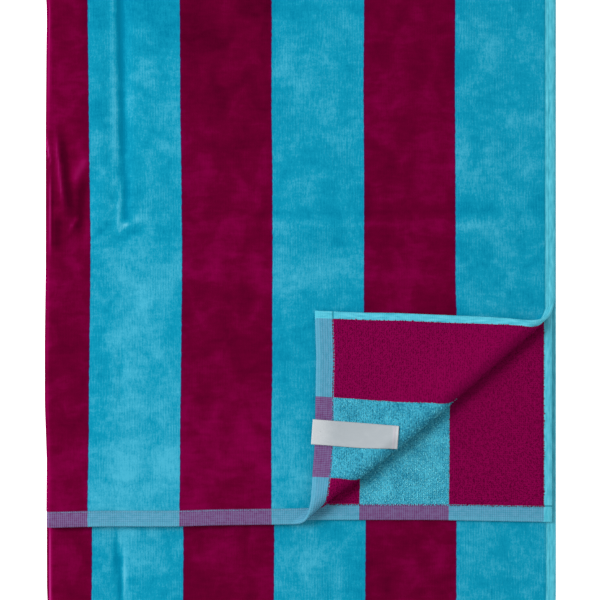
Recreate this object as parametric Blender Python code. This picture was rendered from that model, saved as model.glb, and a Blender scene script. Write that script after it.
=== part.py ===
"""A striped bath towel, folded, with a woven label sewn at its end hem.

The towel is one sheet of cotton: cut-pile velour on its face, terry loops on its reverse, flat woven hems
across its ends and flat selvedges down its sides. It is folded in half along its length, with the face
outside and the fold towards -X. The doubled strip is then folded in three across, so that it lies as
three pairs of leaves, and the free corner of the top leaf is turned back over a soft diagonal roll. The
end hem of the top pair lies a hand's width inside the front fold.

Two coordinates follow the cloth: across, measured from the lengthwise fold and positive on the half that
lies on top at the front, and along, measured from the front end hem. Metres, with +Z up.
"""

import math

import bmesh
import bpy
import numpy as np

# The cloth laid flat
STRIPE_WIDTH = 0.0627
STRIPE_COUNT = 11
SELVEDGE_WIDTH = 0.0063
HALF_WIDTH = STRIPE_WIDTH * STRIPE_COUNT / 2 + SELVEDGE_WIDTH
CLOTH_LENGTH = 1.400
HEM_WIDTH = 0.0115
PILE_THICKNESS = 0.0030
WOVEN_THICKNESS = 0.0020
PILE_SHOULDER = 0.0010
EDGE_ROUNDING = 0.0006

# The folded stack
LEAF_GAP = 0.0008
LEAF_OFFSET = (PILE_THICKNESS + LEAF_GAP) / 2
CROSS_FOLD_RADIUS = PILE_THICKNESS + LEAF_GAP
PAIR_HALF_THICKNESS = PILE_THICKNESS + LEAF_GAP / 2
FOLDED_WIDTH = 0.350
FOLDED_LENGTH = 0.502
HEM_SETBACK = 0.076

# Heights of the middles of the three pairs of leaves, and the places where the cross folds start
BOTTOM_PAIR = PAIR_HALF_THICKNESS
MIDDLE_PAIR = BOTTOM_PAIR + 2 * CROSS_FOLD_RADIUS
TOP_PAIR = MIDDLE_PAIR + 2 * CROSS_FOLD_RADIUS
STACK_HEIGHT = TOP_PAIR + PAIR_HALF_THICKNESS
FOLD_TANGENT = FOLDED_LENGTH / 2 - CROSS_FOLD_RADIUS - PAIR_HALF_THICKNESS
HEM_Y = HEM_SETBACK - FOLDED_LENGTH / 2
FOLD_CENTRE_X = -FOLDED_WIDTH / 2 + PAIR_HALF_THICKNESS

# Runs of the doubled strip: front hem to back fold, back fold to front fold, front fold to back hem
TOP_RUN = FOLD_TANGENT - HEM_Y
MIDDLE_RUN = 2 * FOLD_TANGENT
FOLD_RUN = math.pi * CROSS_FOLD_RADIUS

# How each pair lies: its drift to the right, and what soft waves beside the lengthwise fold take up of
# the upper half's width (the half that is on top at the front) and of the other half's width
PAIRS = (
    # pair, drift, upper_slack, lower_slack
    ("top", 0.0, 0.0016, 0.0033),
    ("middle", 0.0012, 0.0024, 0.0016),
    ("bottom", -0.0008, 0.0020, 0.0026),
)
SLACK_REACH = 0.030
PAIR_BLEND = 0.060

# How far the front hem lies inside its straight line, at places across the cloth
HEM_LINE = (
    # across, set_in
    (-0.350, 0.0028),
    (-0.270, 0.0043),
    (-0.150, 0.0043),
    (-0.040, 0.0010),
    (0.000, -0.0009),
    (0.040, 0.0000),
    (0.090, 0.0000),
    (0.120, 0.0009),
    (0.200, 0.0018),
    (0.270, 0.0012),
    (0.315, 0.0014),
    (0.350, 0.0000),
)
HEM_LINE_REACH = 0.300

# How far the fold on the left wanders, at places along the stack
LEFT_EDGE = (
    # y, shift
    (-0.250, 0.0008),
    (-0.210, 0.0004),
    (-0.170, 0.0004),
    (-0.130, 0.0007),
    (-0.090, -0.0007),
    (-0.050, -0.0007),
    (0.000, 0.0000),
    (0.100, 0.0000),
    (0.150, 0.0004),
    (0.180, 0.0008),
    (0.200, -0.0006),
    (0.250, 0.0002),
)
LEFT_EDGE_REACH = 0.025

# Soft troughs and ridges that run through the stack: middle, half length, heading from +X, half width
# and height at the top leaf
CREASES = (
    # name, x, y, half_length, heading_deg, half_width, height
    ("first_stripe_trough", -0.124, 0.125, 0.110, 90.0, 0.009, -0.0013),
    ("first_stripe_trough_front", -0.125, -0.205, 0.045, 88.0, 0.010, -0.0011),
    ("left_trough", -0.159, 0.072, 0.038, 102.0, 0.007, -0.0014),
    ("left_trough_low", -0.149, 0.045, 0.034, 76.0, 0.008, -0.0012),
    ("left_swell", -0.166, 0.020, 0.080, 88.0, 0.008, 0.0010),
    ("middle_swell", 0.060, 0.030, 0.110, 2.0, 0.016, 0.0011),
    ("right_dip", 0.125, 0.055, 0.060, 175.0, 0.014, -0.0008),
    ("left_dip", -0.085, -0.010, 0.060, 3.0, 0.014, -0.0009),
    ("back_swell", 0.030, 0.150, 0.120, 12.0, 0.030, 0.0010),
    ("back_left_swell", -0.080, 0.200, 0.060, 60.0, 0.024, 0.0009),
    ("front_right_dip", 0.090, -0.222, 0.080, 4.0, 0.018, -0.0008),
)

# The turned-back corner: two points on the outer edge of its roll, and the roll's own shape
ROLL_START = (0.1752, -0.0283)
ROLL_END = (0.0032, -0.1729)
ROLL_RADIUS = 0.0050
ROLL_OVERTURN = math.radians(20.0)
ROLL_GATHER = 0.0042
CORNER_SKEW = 0.266
CORNER_SPREAD = 1.020
ROLL_BOW = (
    # distance along the roll, bow
    (-0.030, 0.0),
    (0.000, 0.0),
    (0.070, 0.0022),
    (0.130, 0.0022),
    (0.180, 0.0006),
    (0.200, -0.0012),
    (0.225, 0.0),
    (0.260, 0.0),
)
ROLL_BOW_REACH = 0.030

# The label, sewn across the front hem of the turned-back corner
LABEL_LENGTH = 0.0592
LABEL_WIDTH = 0.0172
LABEL_THICKNESS = 0.0010
LABEL_CLEARANCE = 0.0004
LABEL_START = (0.0080, -0.1101)
LABEL_HEADING = math.radians(-4.3)
STRIP_FALL = math.radians(14.0)
STRIP_REACH = 0.050
STRIP_SAMPLES = 400

# Steps of the net of faces
FOLD_STEPS = 6
ROW_SPACING = 0.0406
ROLL_STEP = math.radians(25.0)
OVERTURN_STEPS = 4
COLUMNS_PAST_FOLD = (
    0.010, 0.021, 0.033, 0.046, 0.060, 0.085, 0.120, 0.155, 0.190, 0.225, 0.260, 0.295, 0.325
)
LABEL_LONG_STEP = 0.0055
LABEL_SHORT_STEP = 0.0016
LABEL_SHORT_REACH = 0.016
LABEL_ROWS = 8
NET_TOLERANCE = 0.0002

PLUM = (0.135, 0.0012, 0.030, 1.0)
SATIN_WHITE = (0.62, 0.64, 0.66, 1.0)


def smooth(share):
    """A share held between 0 and 1, eased at both ends."""
    held = np.clip(share, 0.0, 1.0)
    return held * held * (3.0 - 2.0 * held)


def bell(distance, reach):
    """A soft hump of height 1 where the distance is 0, all but gone at twice the reach."""
    return np.exp(-((distance / reach) ** 2))


def from_table(table, at):
    """Values of a table's second column at places given in its first."""
    places, values = zip(*table)
    return np.interp(at, places, values)


def pair_values(along):
    """Drift, upper slack and lower slack of the strip at each distance along it."""
    back_fold = TOP_RUN + FOLD_RUN / 2
    front_fold = back_fold + FOLD_RUN + MIDDLE_RUN
    past_back = smooth((along - back_fold) / PAIR_BLEND + 0.5)
    past_front = smooth((along - front_fold) / PAIR_BLEND + 0.5)
    values = []
    for column in (1, 2, 3):
        top, middle, bottom = (row[column] for row in PAIRS)
        values.append(top + (middle - top) * past_back + (bottom - middle) * past_front)
    return values


def settled(across, along):
    """Distances across and along the cloth once its slack and its skewed front hem are taken up."""
    _, upper_slack, lower_slack = pair_values(along)
    slack = np.where(across > 0, upper_slack, lower_slack)
    arc = LEAF_OFFSET * math.pi / 2
    taken = slack * smooth((np.abs(across) - arc) / SLACK_REACH)
    hem = from_table(HEM_LINE, across) * (1.0 - smooth(along / HEM_LINE_REACH))
    return across - np.sign(across) * taken, along + hem


def half_thickness(across, along):
    """Half the cloth's thickness: thin at the woven hems and selvedges, thick in the pile."""
    from_end = np.minimum(along, CLOTH_LENGTH - along) - HEM_WIDTH
    from_side = HALF_WIDTH - SELVEDGE_WIDTH - np.abs(across)
    pile = smooth(np.minimum(from_end, from_side) / PILE_SHOULDER + 0.5)
    return (WOVEN_THICKNESS + (PILE_THICKNESS - WOVEN_THICKNESS) * pile) / 2


def hairpin(across, outward):
    """Section of a pair: distance from the lengthwise fold's centre, and height over the pair's middle."""
    turn = np.clip(across / LEAF_OFFSET, -math.pi / 2, math.pi / 2)
    run = np.maximum(np.abs(across) - LEAF_OFFSET * math.pi / 2, 0.0)
    radius = LEAF_OFFSET + outward
    return run - radius * np.cos(turn), radius * np.sin(turn)


def folded_in_three(along, lift):
    """Y and Z of a point of the strip, lifted off the pair's middle on the side that is up in front."""
    back = (along - TOP_RUN) / CROSS_FOLD_RADIUS
    middle = along - TOP_RUN - FOLD_RUN
    front = (middle - MIDDLE_RUN) / CROSS_FOLD_RADIUS
    bottom = middle - MIDDLE_RUN - FOLD_RUN
    outer = CROSS_FOLD_RADIUS + lift
    inner = CROSS_FOLD_RADIUS - lift
    where = [back <= 0, back <= math.pi, front <= 0, front <= math.pi]
    y = np.select(
        where,
        [
            HEM_Y + along,
            FOLD_TANGENT + outer * np.sin(back),
            FOLD_TANGENT - middle,
            -FOLD_TANGENT - inner * np.sin(front),
        ],
        -FOLD_TANGENT + bottom,
    )
    z = np.select(
        where,
        [
            TOP_PAIR + lift,
            TOP_PAIR - CROSS_FOLD_RADIUS + outer * np.cos(back),
            MIDDLE_PAIR - lift,
            MIDDLE_PAIR - CROSS_FOLD_RADIUS + inner * np.cos(front),
        ],
        BOTTOM_PAIR + lift,
    )
    return y, z


class Roll:
    """The soft roll over which the corner is turned back, in the plan of the top leaf.

    Distances run down the roll, from the right selvedge to the front hem, and out, square to it, from
    the line where the roll leaves the leaf.
    """

    def __init__(self):
        start = np.array(ROLL_START)
        run = np.array(ROLL_END) - start
        self.down = run / np.linalg.norm(run)
        self.out = np.array((-self.down[1], self.down[0]))
        self.origin = start - self.out * (ROLL_RADIUS + PILE_THICKNESS / 2)
        rise = ROLL_RADIUS * (1 + math.cos(ROLL_OVERTURN)) - PILE_THICKNESS - LEAF_GAP
        self.reverse_radius = rise / (1 - math.cos(ROLL_OVERTURN))
        self.turned = ROLL_RADIUS * (math.pi + ROLL_OVERTURN)
        self.landed = self.turned + self.reverse_radius * ROLL_OVERTURN
        self.fullness = 1.0 + ROLL_GATHER / self.turned

    def plan(self, x, y):
        """Distances down and out of a place in the plan."""
        dx = x - self.origin[0]
        dy = y - self.origin[1]
        return dx * self.down[0] + dy * self.down[1], dx * self.out[0] + dy * self.out[1]

    def place(self, down, out):
        """X and Y of distances down and out, moved by the roll's slight bow."""
        bowed = out + from_table(ROLL_BOW, down) * bell(out, ROLL_BOW_REACH)
        x = self.origin[0] + down * self.down[0] + bowed * self.out[0]
        y = self.origin[1] + down * self.down[1] + bowed * self.out[1]
        return x, y

    def ungathered(self, past):
        """Distance along the curve of cloth that lies past the roll's start, where it is gathered."""
        gathered = np.clip(past, 0.0, self.turned * self.fullness)
        return past - gathered * (1.0 - 1.0 / self.fullness)

    def profile(self, past, outward):
        """Distance out and height over the leaf's middle at a distance along the curve."""
        turn = np.clip(past, 0.0, self.turned) / ROLL_RADIUS
        out = ROLL_RADIUS * np.sin(turn)
        height = ROLL_RADIUS * (1 - np.cos(turn))
        back = np.clip((past - self.turned) / self.reverse_radius, 0.0, ROLL_OVERTURN)
        turn = turn - back
        over = math.pi + ROLL_OVERTURN
        out += self.reverse_radius * (math.sin(over) - np.sin(turn)) * (back > 0)
        height += self.reverse_radius * (np.cos(turn) - math.cos(over)) * (back > 0)
        out += np.minimum(past, 0.0)
        out -= CORNER_SPREAD * np.maximum(past - self.landed, 0.0)
        return out - outward * np.sin(turn), height + outward * np.cos(turn)

    def bend(self, down, past, outward):
        """X, Y and height over the leaf's middle of points of the top leaf and its turned corner."""
        out, height = self.profile(self.ungathered(past), outward)
        x, y = self.place(down + CORNER_SKEW * np.maximum(past, 0.0), out)
        return x, y, height

    def strip_height(self, x, y, clearance):
        """Height over the leaf's middle of a stiff strip that lies on the turned corner, at X and Y.

        Its underside follows the corner's upper side at a clearance, and runs straight on where the
        roll falls away too steeply.
        """
        down, bowed = self.plan(x, y)
        out = bowed - from_table(ROLL_BOW, down) * bell(bowed, ROLL_BOW_REACH)
        steepest = ROLL_RADIUS * (math.pi - STRIP_FALL)
        curve = np.linspace(steepest, self.landed + STRIP_REACH, STRIP_SAMPLES)
        outs, heights = self.profile(curve, -PILE_THICKNESS / 2 - clearance)
        free = np.maximum(out - outs[0], 0.0)
        return np.interp(-out, -outs, heights) - free * math.tan(STRIP_FALL)


ROLL = Roll()


def creased(x, y, z):
    """The points with the stack's troughs and ridges, which grow from nothing at the bottom."""
    relief = np.zeros_like(z)
    for _, crease_x, crease_y, half_length, heading, half_width, height in CREASES:
        turn = math.radians(heading)
        dx = x - crease_x
        dy = y - crease_y
        run = dx * math.cos(turn) + dy * math.sin(turn)
        side = dy * math.cos(turn) - dx * math.sin(turn)
        ends = 1.0 - smooth((np.abs(run) - 0.5 * half_length) / (0.8 * half_length))
        relief += height * ends * bell(side, half_width)
    return np.stack([x, y, z * (1.0 + relief / STACK_HEIGHT)], axis=-1)


def wander(x, y):
    """How far a place moves with the wandering fold on the left."""
    from_edge = x - (FOLD_CENTRE_X - PAIR_HALF_THICKNESS)
    return from_table(LEFT_EDGE, y) * (1.0 - smooth(from_edge / LEFT_EDGE_REACH))


def laid(across, along, outward):
    """Points of the folded towel: settled distances across and along, and outward from its face."""
    drift, _, _ = pair_values(along)
    section_x, lift = hairpin(across, outward)
    x = FOLD_CENTRE_X + section_x + drift
    y, z = folded_in_three(along, lift)
    flat_x = FOLD_CENTRE_X + np.maximum(across - LEAF_OFFSET * math.pi / 2, 0.0) + drift
    down, past = ROLL.plan(flat_x, HEM_Y + along)
    top_leaf = (across > LEAF_OFFSET * math.pi / 2) & (along < TOP_RUN)
    bent_x, bent_y, height = ROLL.bend(down, past, outward)
    x = np.where(top_leaf, bent_x, x)
    y = np.where(top_leaf, bent_y, y)
    z = np.where(top_leaf, TOP_PAIR + LEAF_OFFSET + height, z)
    return creased(x + wander(x, y), y, z)


def columns():
    """Places across the cloth where the net has a line."""
    arc = LEAF_OFFSET * math.pi / 2
    half = [arc * step * 2 / FOLD_STEPS for step in range(FOLD_STEPS // 2 + 1)]
    half += [arc + past for past in COLUMNS_PAST_FOLD]
    pile_end = HALF_WIDTH - SELVEDGE_WIDTH
    half += [pile_end - PILE_SHOULDER / 2, pile_end + PILE_SHOULDER / 2, HALF_WIDTH]
    return [-place for place in reversed(half[1:])] + half


def rows():
    """Places along the cloth where the net has a line; the three runs share their places in Y."""
    count = round(2 * FOLD_TANGENT / ROW_SPACING)
    steps = np.linspace(0.0, MIDDLE_RUN, count + 1)
    shoulders = [HEM_WIDTH - PILE_SHOULDER / 2, HEM_WIDTH + PILE_SHOULDER / 2]
    middle_start = TOP_RUN + FOLD_RUN
    bottom_start = middle_start + MIDDLE_RUN + FOLD_RUN
    front = [TOP_RUN - MIDDLE_RUN + step for step in steps]
    bottom = [bottom_start + step for step in steps]
    places = [0.0, *shoulders]
    places += [place for place in front if place > HEM_WIDTH + ROW_SPACING / 4]
    places += [TOP_RUN + FOLD_RUN * step / FOLD_STEPS for step in range(1, FOLD_STEPS)]
    places += [middle_start + step for step in steps]
    places += [middle_start + MIDDLE_RUN + FOLD_RUN * step / FOLD_STEPS for step in range(1, FOLD_STEPS)]
    places += [place for place in bottom if place < CLOTH_LENGTH - HEM_WIDTH - ROW_SPACING / 4]
    return places + [CLOTH_LENGTH - place for place in reversed([0.0, *shoulders])]


def roll_lines():
    """Distances of cloth past the roll's start where the turned corner has a line across its curve."""
    count = math.ceil((math.pi + ROLL_OVERTURN) / ROLL_STEP)
    turned = ROLL.turned + ROLL_GATHER
    reach = ROLL.landed - ROLL.turned
    lines = [turned * step / count for step in range(count + 1)]
    return lines + [turned + reach * step / OVERTURN_STEPS for step in range(1, OVERTURN_STEPS + 1)]


def flat_net(across_lines, along_lines):
    """A flat net of quads in settled distances, which keeps each point's own place on the cloth.

    Returns the bmesh and its two layers: the place across and the place along.
    """
    net = bmesh.new()
    across_layer = net.verts.layers.float.new("across")
    along_layer = net.verts.layers.float.new("along")
    grid = []
    for along in along_lines:
        line = []
        for across in across_lines:
            settled_across, settled_along = settled(np.array(across), np.array(along))
            vert = net.verts.new((float(settled_across), float(settled_along), 0.0))
            vert[across_layer] = across
            vert[along_layer] = along
            line.append(vert)
        grid.append(line)
    for near, far in zip(grid, grid[1:]):
        for left in range(len(near) - 1):
            net.faces.new((near[left], near[left + 1], far[left + 1], far[left]))
    return net, across_layer, along_layer


def cut_along_roll(net):
    """Adds to the net a line along the roll for each step of its curve."""
    arc = LEAF_OFFSET * math.pi / 2
    for past in roll_lines():
        point = ROLL.origin + past * ROLL.out
        point_across = point[0] - FOLD_CENTRE_X + arc
        point_along = point[1] - HEM_Y
        corner = [
            face
            for face in net.faces
            if all(vert.co.x > arc and vert.co.y < TOP_RUN / 2 for vert in face.verts)
        ]
        geometry = {item for face in corner for item in (*face.verts, *face.edges, face)}
        bmesh.ops.bisect_plane(
            net,
            geom=list(geometry),
            dist=NET_TOLERANCE,
            plane_co=(point_across, point_along, 0.0),
            plane_no=(ROLL.out[0], ROLL.out[1], 0.0),
        )


def closed_sheet(name, net, place_points, thicknesses, outward_edge):
    """A closed sheet of cloth from a flat net: its face, its reverse and a rounded rim.

    place_points gives points in space for places on the net and distances outward, thicknesses gives
    the face's and the reverse's distance outward, and outward_edge moves rim points off the net's edge.
    """
    bmesh.ops.triangulate(net, faces=net.faces[:])
    net.verts.index_update()
    places = np.array([vert.co[:2] for vert in net.verts])
    faces = []
    for face in net.faces:
        corners = [vert.index for vert in face.verts]
        faces.append(corners if face.normal.z > 0 else corners[::-1])
    rim = []
    for face in faces:
        for start, end in zip(face, face[1:] + face[:1]):
            edge = net.edges.get((net.verts[start], net.verts[end]))
            if edge.is_boundary:
                rim.append((start, end))
    face_out, reverse_out = thicknesses
    count = len(places)
    rim_places = places + outward_edge(places)
    middle = (face_out + reverse_out) / 2
    points = np.concatenate([
        place_points(places, face_out),
        place_points(places, reverse_out),
        place_points(rim_places, middle),
    ])
    used = sorted({start for start, _ in rim})
    rim_index = {vert: 2 * count + order for order, vert in enumerate(used)}
    points = np.concatenate([points[: 2 * count], points[2 * count:][used]])
    polygons = [tuple(face) for face in faces]
    polygons += [tuple(corner + count for corner in reversed(face)) for face in faces]
    for start, end in rim:
        near, far = rim_index[start], rim_index[end]
        polygons.append((start, near, far, end))
        polygons.append((near, start + count, end + count, far))
    mesh = bpy.data.meshes.new(name)
    mesh.from_pydata(points.tolist(), [], polygons)
    mesh.validate()
    net.free()
    return mesh


def towel_mesh():
    """The whole towel as one closed sheet."""
    net, across_layer, along_layer = flat_net(columns(), rows())
    cut_along_roll(net)
    net.verts.ensure_lookup_table()
    across = np.array([vert[across_layer] for vert in net.verts])
    along = np.array([vert[along_layer] for vert in net.verts])
    half = half_thickness(across, along)

    def off_edge(places):
        """A step off the selvedges and the end hems."""
        tolerance = PILE_SHOULDER / 4
        step = np.zeros_like(places)
        step[:, 0] = np.sign(across) * (np.abs(across) > HALF_WIDTH - tolerance) * EDGE_ROUNDING
        step[:, 1] = (along > CLOTH_LENGTH - tolerance) * EDGE_ROUNDING
        step[:, 1] -= (along < tolerance) * EDGE_ROUNDING
        return step

    def place_points(places, outward):
        """Points of the folded towel."""
        return laid(places[:, 0], places[:, 1], outward)

    return closed_sheet("towel", net, place_points, (half, -half), off_edge)


def label_mesh():
    """The label as one closed strip, which follows the turned corner's reverse at a small clearance."""
    heading = np.array((math.cos(LABEL_HEADING), math.sin(LABEL_HEADING)))
    side = np.array((-heading[1], heading[0]))
    short_start = LABEL_LENGTH - LABEL_SHORT_REACH
    long_count = math.ceil(short_start / LABEL_LONG_STEP)
    short_count = math.ceil(LABEL_SHORT_REACH / LABEL_SHORT_STEP)
    lengths = np.concatenate([
        np.linspace(0.0, short_start, long_count, endpoint=False),
        np.linspace(short_start, LABEL_LENGTH, short_count + 1),
    ])
    widths = np.linspace(-LABEL_WIDTH / 2, LABEL_WIDTH / 2, LABEL_ROWS + 1)
    net = bmesh.new()
    grid = [[net.verts.new((length, width, 0.0)) for length in lengths] for width in widths]
    for near, far in zip(grid, grid[1:]):
        for left in range(len(near) - 1):
            net.faces.new((near[left], near[left + 1], far[left + 1], far[left]))
    net.verts.ensure_lookup_table()

    def place_points(places, outward):
        """Points of the label on the turned corner, with the reverse up."""
        x, y = (LABEL_START + places[:, :1] * heading + places[:, 1:] * side).T
        height = ROLL.strip_height(x, y, LABEL_CLEARANCE) + outward
        return creased(x, y, TOP_PAIR + LEAF_OFFSET + height)

    def off_edge(places):
        """A step off the label's edges."""
        return np.zeros_like(places)

    low = np.zeros(len(net.verts))
    return closed_sheet("label", net, place_points, (low + LABEL_THICKNESS, low), off_edge)


def finish(name, colour, roughness):
    """A plain material with its colour and roughness."""
    material = bpy.data.materials.new(name)
    material.use_nodes = True
    shader = material.node_tree.nodes["Principled BSDF"]
    shader.inputs["Base Color"].default_value = colour
    shader.inputs["Roughness"].default_value = roughness
    shader.inputs["Metallic"].default_value = 0.0
    return material


def add_part(name, mesh, material):
    """An object for one sub-part, shaded smooth but for its hard edges."""
    mesh.materials.append(material)
    mesh.shade_smooth()
    mesh.set_sharp_from_angle(angle=math.radians(40))
    part = bpy.data.objects.new(name, mesh)
    bpy.context.scene.collection.objects.link(part)
    return part


def main():
    """Builds the towel and its label over the middle of the footprint."""
    for leftover in list(bpy.data.objects):
        bpy.data.objects.remove(leftover)
    towel = towel_mesh()
    label = label_mesh()
    points = np.array([vert.co[:] for vert in towel.vertices])
    middle = (points.min(axis=0) + points.max(axis=0)) / 2
    lowest = points[:, 2].min()
    for mesh in (towel, label):
        for vert in mesh.vertices:
            vert.co.x -= middle[0]
            vert.co.y -= middle[1]
            vert.co.z -= lowest
    add_part("towel", towel, finish("plum_velour", PLUM, 0.85))
    add_part("label", label, finish("satin_label", SATIN_WHITE, 0.45))


main()
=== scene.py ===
"""A striped bath towel, folded, dressed for its picture: velour face, terry reverse, bare satin label.

The towel is one sheet of cotton, folded in half along its length and then in three across, with its
front corner turned back over a soft diagonal roll. Two coordinates follow the cloth: across, measured
from the lengthwise fold and positive on the half that lies on top at the front, and along, measured from
the front end hem. Metres, with +Z up.
"""

import logging
import math
from collections.abc import Sequence
from dataclasses import asdict, dataclass
from enum import Enum
from functools import cached_property

import bmesh
import bpy
import numpy as np
from mathutils import Matrix, Vector


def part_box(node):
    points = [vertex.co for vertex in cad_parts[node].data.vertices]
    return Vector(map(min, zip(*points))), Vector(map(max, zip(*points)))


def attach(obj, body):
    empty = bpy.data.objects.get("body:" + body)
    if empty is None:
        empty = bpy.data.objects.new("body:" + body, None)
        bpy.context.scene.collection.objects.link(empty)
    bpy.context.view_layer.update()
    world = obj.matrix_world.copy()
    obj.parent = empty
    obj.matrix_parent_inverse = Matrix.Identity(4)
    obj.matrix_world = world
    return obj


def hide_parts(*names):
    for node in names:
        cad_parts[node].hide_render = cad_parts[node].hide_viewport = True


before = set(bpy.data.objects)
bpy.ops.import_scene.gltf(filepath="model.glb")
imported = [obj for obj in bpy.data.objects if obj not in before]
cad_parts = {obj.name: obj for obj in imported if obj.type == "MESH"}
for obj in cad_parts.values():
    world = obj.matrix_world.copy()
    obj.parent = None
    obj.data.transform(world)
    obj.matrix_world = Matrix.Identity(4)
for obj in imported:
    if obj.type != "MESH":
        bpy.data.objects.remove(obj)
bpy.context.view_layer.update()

BODY = "root"
TOWEL_NODE = "towel"
LABEL_NODE = "label"
CLOTH_PLACE = "cloth"
# Painted light and shade on the face: darker in the creases' troughs and on their shaded slopes, lighter on
# ridges and along the fold on the left.
PAINTED_LIGHT = "painted_light"
# Painted shade and sheen on the crest of the roll at the turned corner, where the loops also open.
CREST_SHADE = "fold"
SHADE = "shade"
ROOT_NORMAL = "root_normal"
ROOT_RUN = "root_run"
SHEEN_ROUGHNESS = 0.5
ARCH_STEPS = 4
YARN_SIDES = 3
# A short distance over or off the cloth, which gives its normals and ways.
NEAR = 0.0004

log = logging.getLogger("towel")

Array = np.ndarray
Colour = tuple[float, float, float]
Table = tuple[tuple[float, float], ...]

WHITE: Colour = (1.0, 1.0, 1.0)


class Side(Enum):
    """The two sides of the cloth: the way outwards from its middle."""

    FACE = 1
    REVERSE = -1


class Area(Enum):
    """The parts of the cloth's surface that are finished alike, in the order of their material slots."""

    VELOUR = 0
    TERRY = 1
    HEM = 2
    SELVEDGE = 3


def smooth(share: Array) -> Array:
    """A share held between 0 and 1, eased at both ends."""
    held = np.clip(share, 0.0, 1.0)
    return held * held * (3.0 - 2.0 * held)


def bell(distance: Array, reach: float) -> Array:
    """A soft hump of height 1 where the distance is 0, all but gone at twice the reach."""
    return np.exp(-((distance / reach) ** 2))


def from_table(table: Table, at: Array) -> Array:
    """Values of a table's second column at places given in its first."""
    places, values = zip(*table)
    return np.interp(at, places, values)


def unit(vectors: Array) -> Array:
    """The vectors at a length of 1."""
    return vectors / np.linalg.norm(vectors, axis=1, keepdims=True)


def crossed(columns: Array, rows: Array) -> tuple[Array, Array]:
    """The places of all crossings of a grid's lines, row by row."""
    return tuple(grid.ravel() for grid in np.meshgrid(columns, rows))


def grid_faces(columns: int, rows: int) -> list[tuple[int, ...]]:
    """The corners of the faces between a grid's crossings.

    Args:
        columns: The number of lines up the grid.
        rows: The number of lines across it.

    Returns:
        Four crossings for each face.
    """
    first = (np.arange(rows - 1)[:, None] * columns + np.arange(columns - 1)[None, :]).ravel()
    corners = np.stack([first, first + 1, first + columns + 1, first + columns], axis=1)
    return [tuple(face) for face in corners.tolist()]


def flat_points(first: Array, second: Array) -> Array:
    """Points with two coordinates and a third of 0, one row each."""
    return np.stack([first, second, np.zeros_like(first)], axis=1)


@dataclass(frozen=True)
class Cloth:
    """The cloth laid flat: stripes of velour between woven hems and selvedges."""

    stripe_width: float = 0.0627
    stripe_count: int = 11
    selvedge_width: float = 0.0063
    length: float = 1.400
    hem_width: float = 0.0105
    pile_thickness: float = 0.0030
    woven_thickness: float = 0.0020
    pile_shoulder: float = 0.0010
    loop_overhang: float = 0.0012
    edge_rounding: float = 0.0006

    @cached_property
    def pile_half_width(self) -> float:
        """Half the width of the striped pile."""
        return self.stripe_width * self.stripe_count / 2

    @cached_property
    def half_width(self) -> float:
        """Half the cloth's width."""
        return self.pile_half_width + self.selvedge_width

    def from_ends(self, along: Array) -> Array:
        """Distance from the nearer end of the cloth."""
        return np.minimum(along, self.length - along)

    def half_thickness(self, across: Array, along: Array) -> Array:
        """Half the cloth's thickness: thin at the woven hems and selvedges, thick in the pile.

        Args:
            across: Places across the cloth.
            along: Places along the cloth.

        Returns:
            Half the thickness at each place.
        """
        from_side = self.pile_half_width - np.abs(across)
        inside = np.minimum(self.from_ends(along) - self.hem_width, from_side)
        pile = smooth(inside / self.pile_shoulder + 0.5)
        return (self.woven_thickness + (self.pile_thickness - self.woven_thickness) * pile) / 2

    def area_of(self, across: Array, along: Array, side: Side) -> Array:
        """The areas of faces, by the places of their middles.

        Args:
            across: Places across the cloth.
            along: Places along the cloth.
            side: The side that the faces lie on.

        Returns:
            The slot of each face.
        """
        pile = Area.VELOUR.value if side is Side.FACE else Area.TERRY.value
        overhang = self.pile_shoulder / 4
        woven = np.where(self.from_ends(along) < self.hem_width - overhang, Area.HEM.value, pile)
        overhang = overhang if side is Side.FACE else self.loop_overhang
        return np.where(np.abs(across) > self.pile_half_width + overhang, Area.SELVEDGE.value, woven)


@dataclass(frozen=True)
class Crease:
    """A soft trough or ridge that runs through the stack, and the painted light and shade along it.

    Its painted light is how much lighter its colour is painted, as a highlight on a ridge, or darker
    where it is negative, as painted shade in a trough or on a shaded slope. The ends fade from one share
    of half its length on, over another share of it.
    """

    x: float
    y: float
    half_length: float
    heading: float
    half_width: float
    height: float
    painted_light: float = 0.0
    fade_start: float = 0.5
    fade_reach: float = 0.8

    def strength(self, x: Array, y: Array) -> Array:
        """How strongly the crease shows at places in the plan.

        Args:
            x: Places in X.
            y: Places in Y.

        Returns:
            Its strength at each place, from 0 to 1.
        """
        turn = math.radians(self.heading)
        dx = x - self.x
        dy = y - self.y
        run = dx * math.cos(turn) + dy * math.sin(turn)
        side = dy * math.cos(turn) - dx * math.sin(turn)
        past = np.abs(run) - self.fade_start * self.half_length
        ends = 1.0 - smooth(past / (self.fade_reach * self.half_length))
        return ends * bell(side, self.half_width)


# Each crease: x, y, half its length, heading in degrees, half its width, height, and painted light (a painted
# highlight where positive, painted shade where negative).
MAIN_CREASES = (
    Crease(-0.124, 0.125, 0.110, 90.0, 0.009, -0.0013),
    Crease(-0.125, -0.205, 0.045, 88.0, 0.010, -0.0011),
    Crease(-0.159, 0.072, 0.038, 102.0, 0.007, -0.0014),
    Crease(-0.149, 0.045, 0.034, 76.0, 0.008, -0.0012),
    Crease(-0.166, 0.020, 0.080, 88.0, 0.008, 0.0010),
    Crease(0.060, 0.030, 0.110, 2.0, 0.016, 0.0011),
    Crease(0.125, 0.055, 0.060, 175.0, 0.014, -0.0008),
    Crease(-0.085, -0.010, 0.060, 3.0, 0.014, -0.0009),
    Crease(0.030, 0.150, 0.120, 12.0, 0.030, 0.0010),
    Crease(-0.080, 0.200, 0.060, 60.0, 0.024, 0.0009),
    Crease(0.090, -0.222, 0.080, 4.0, 0.018, -0.0008),
)
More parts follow.
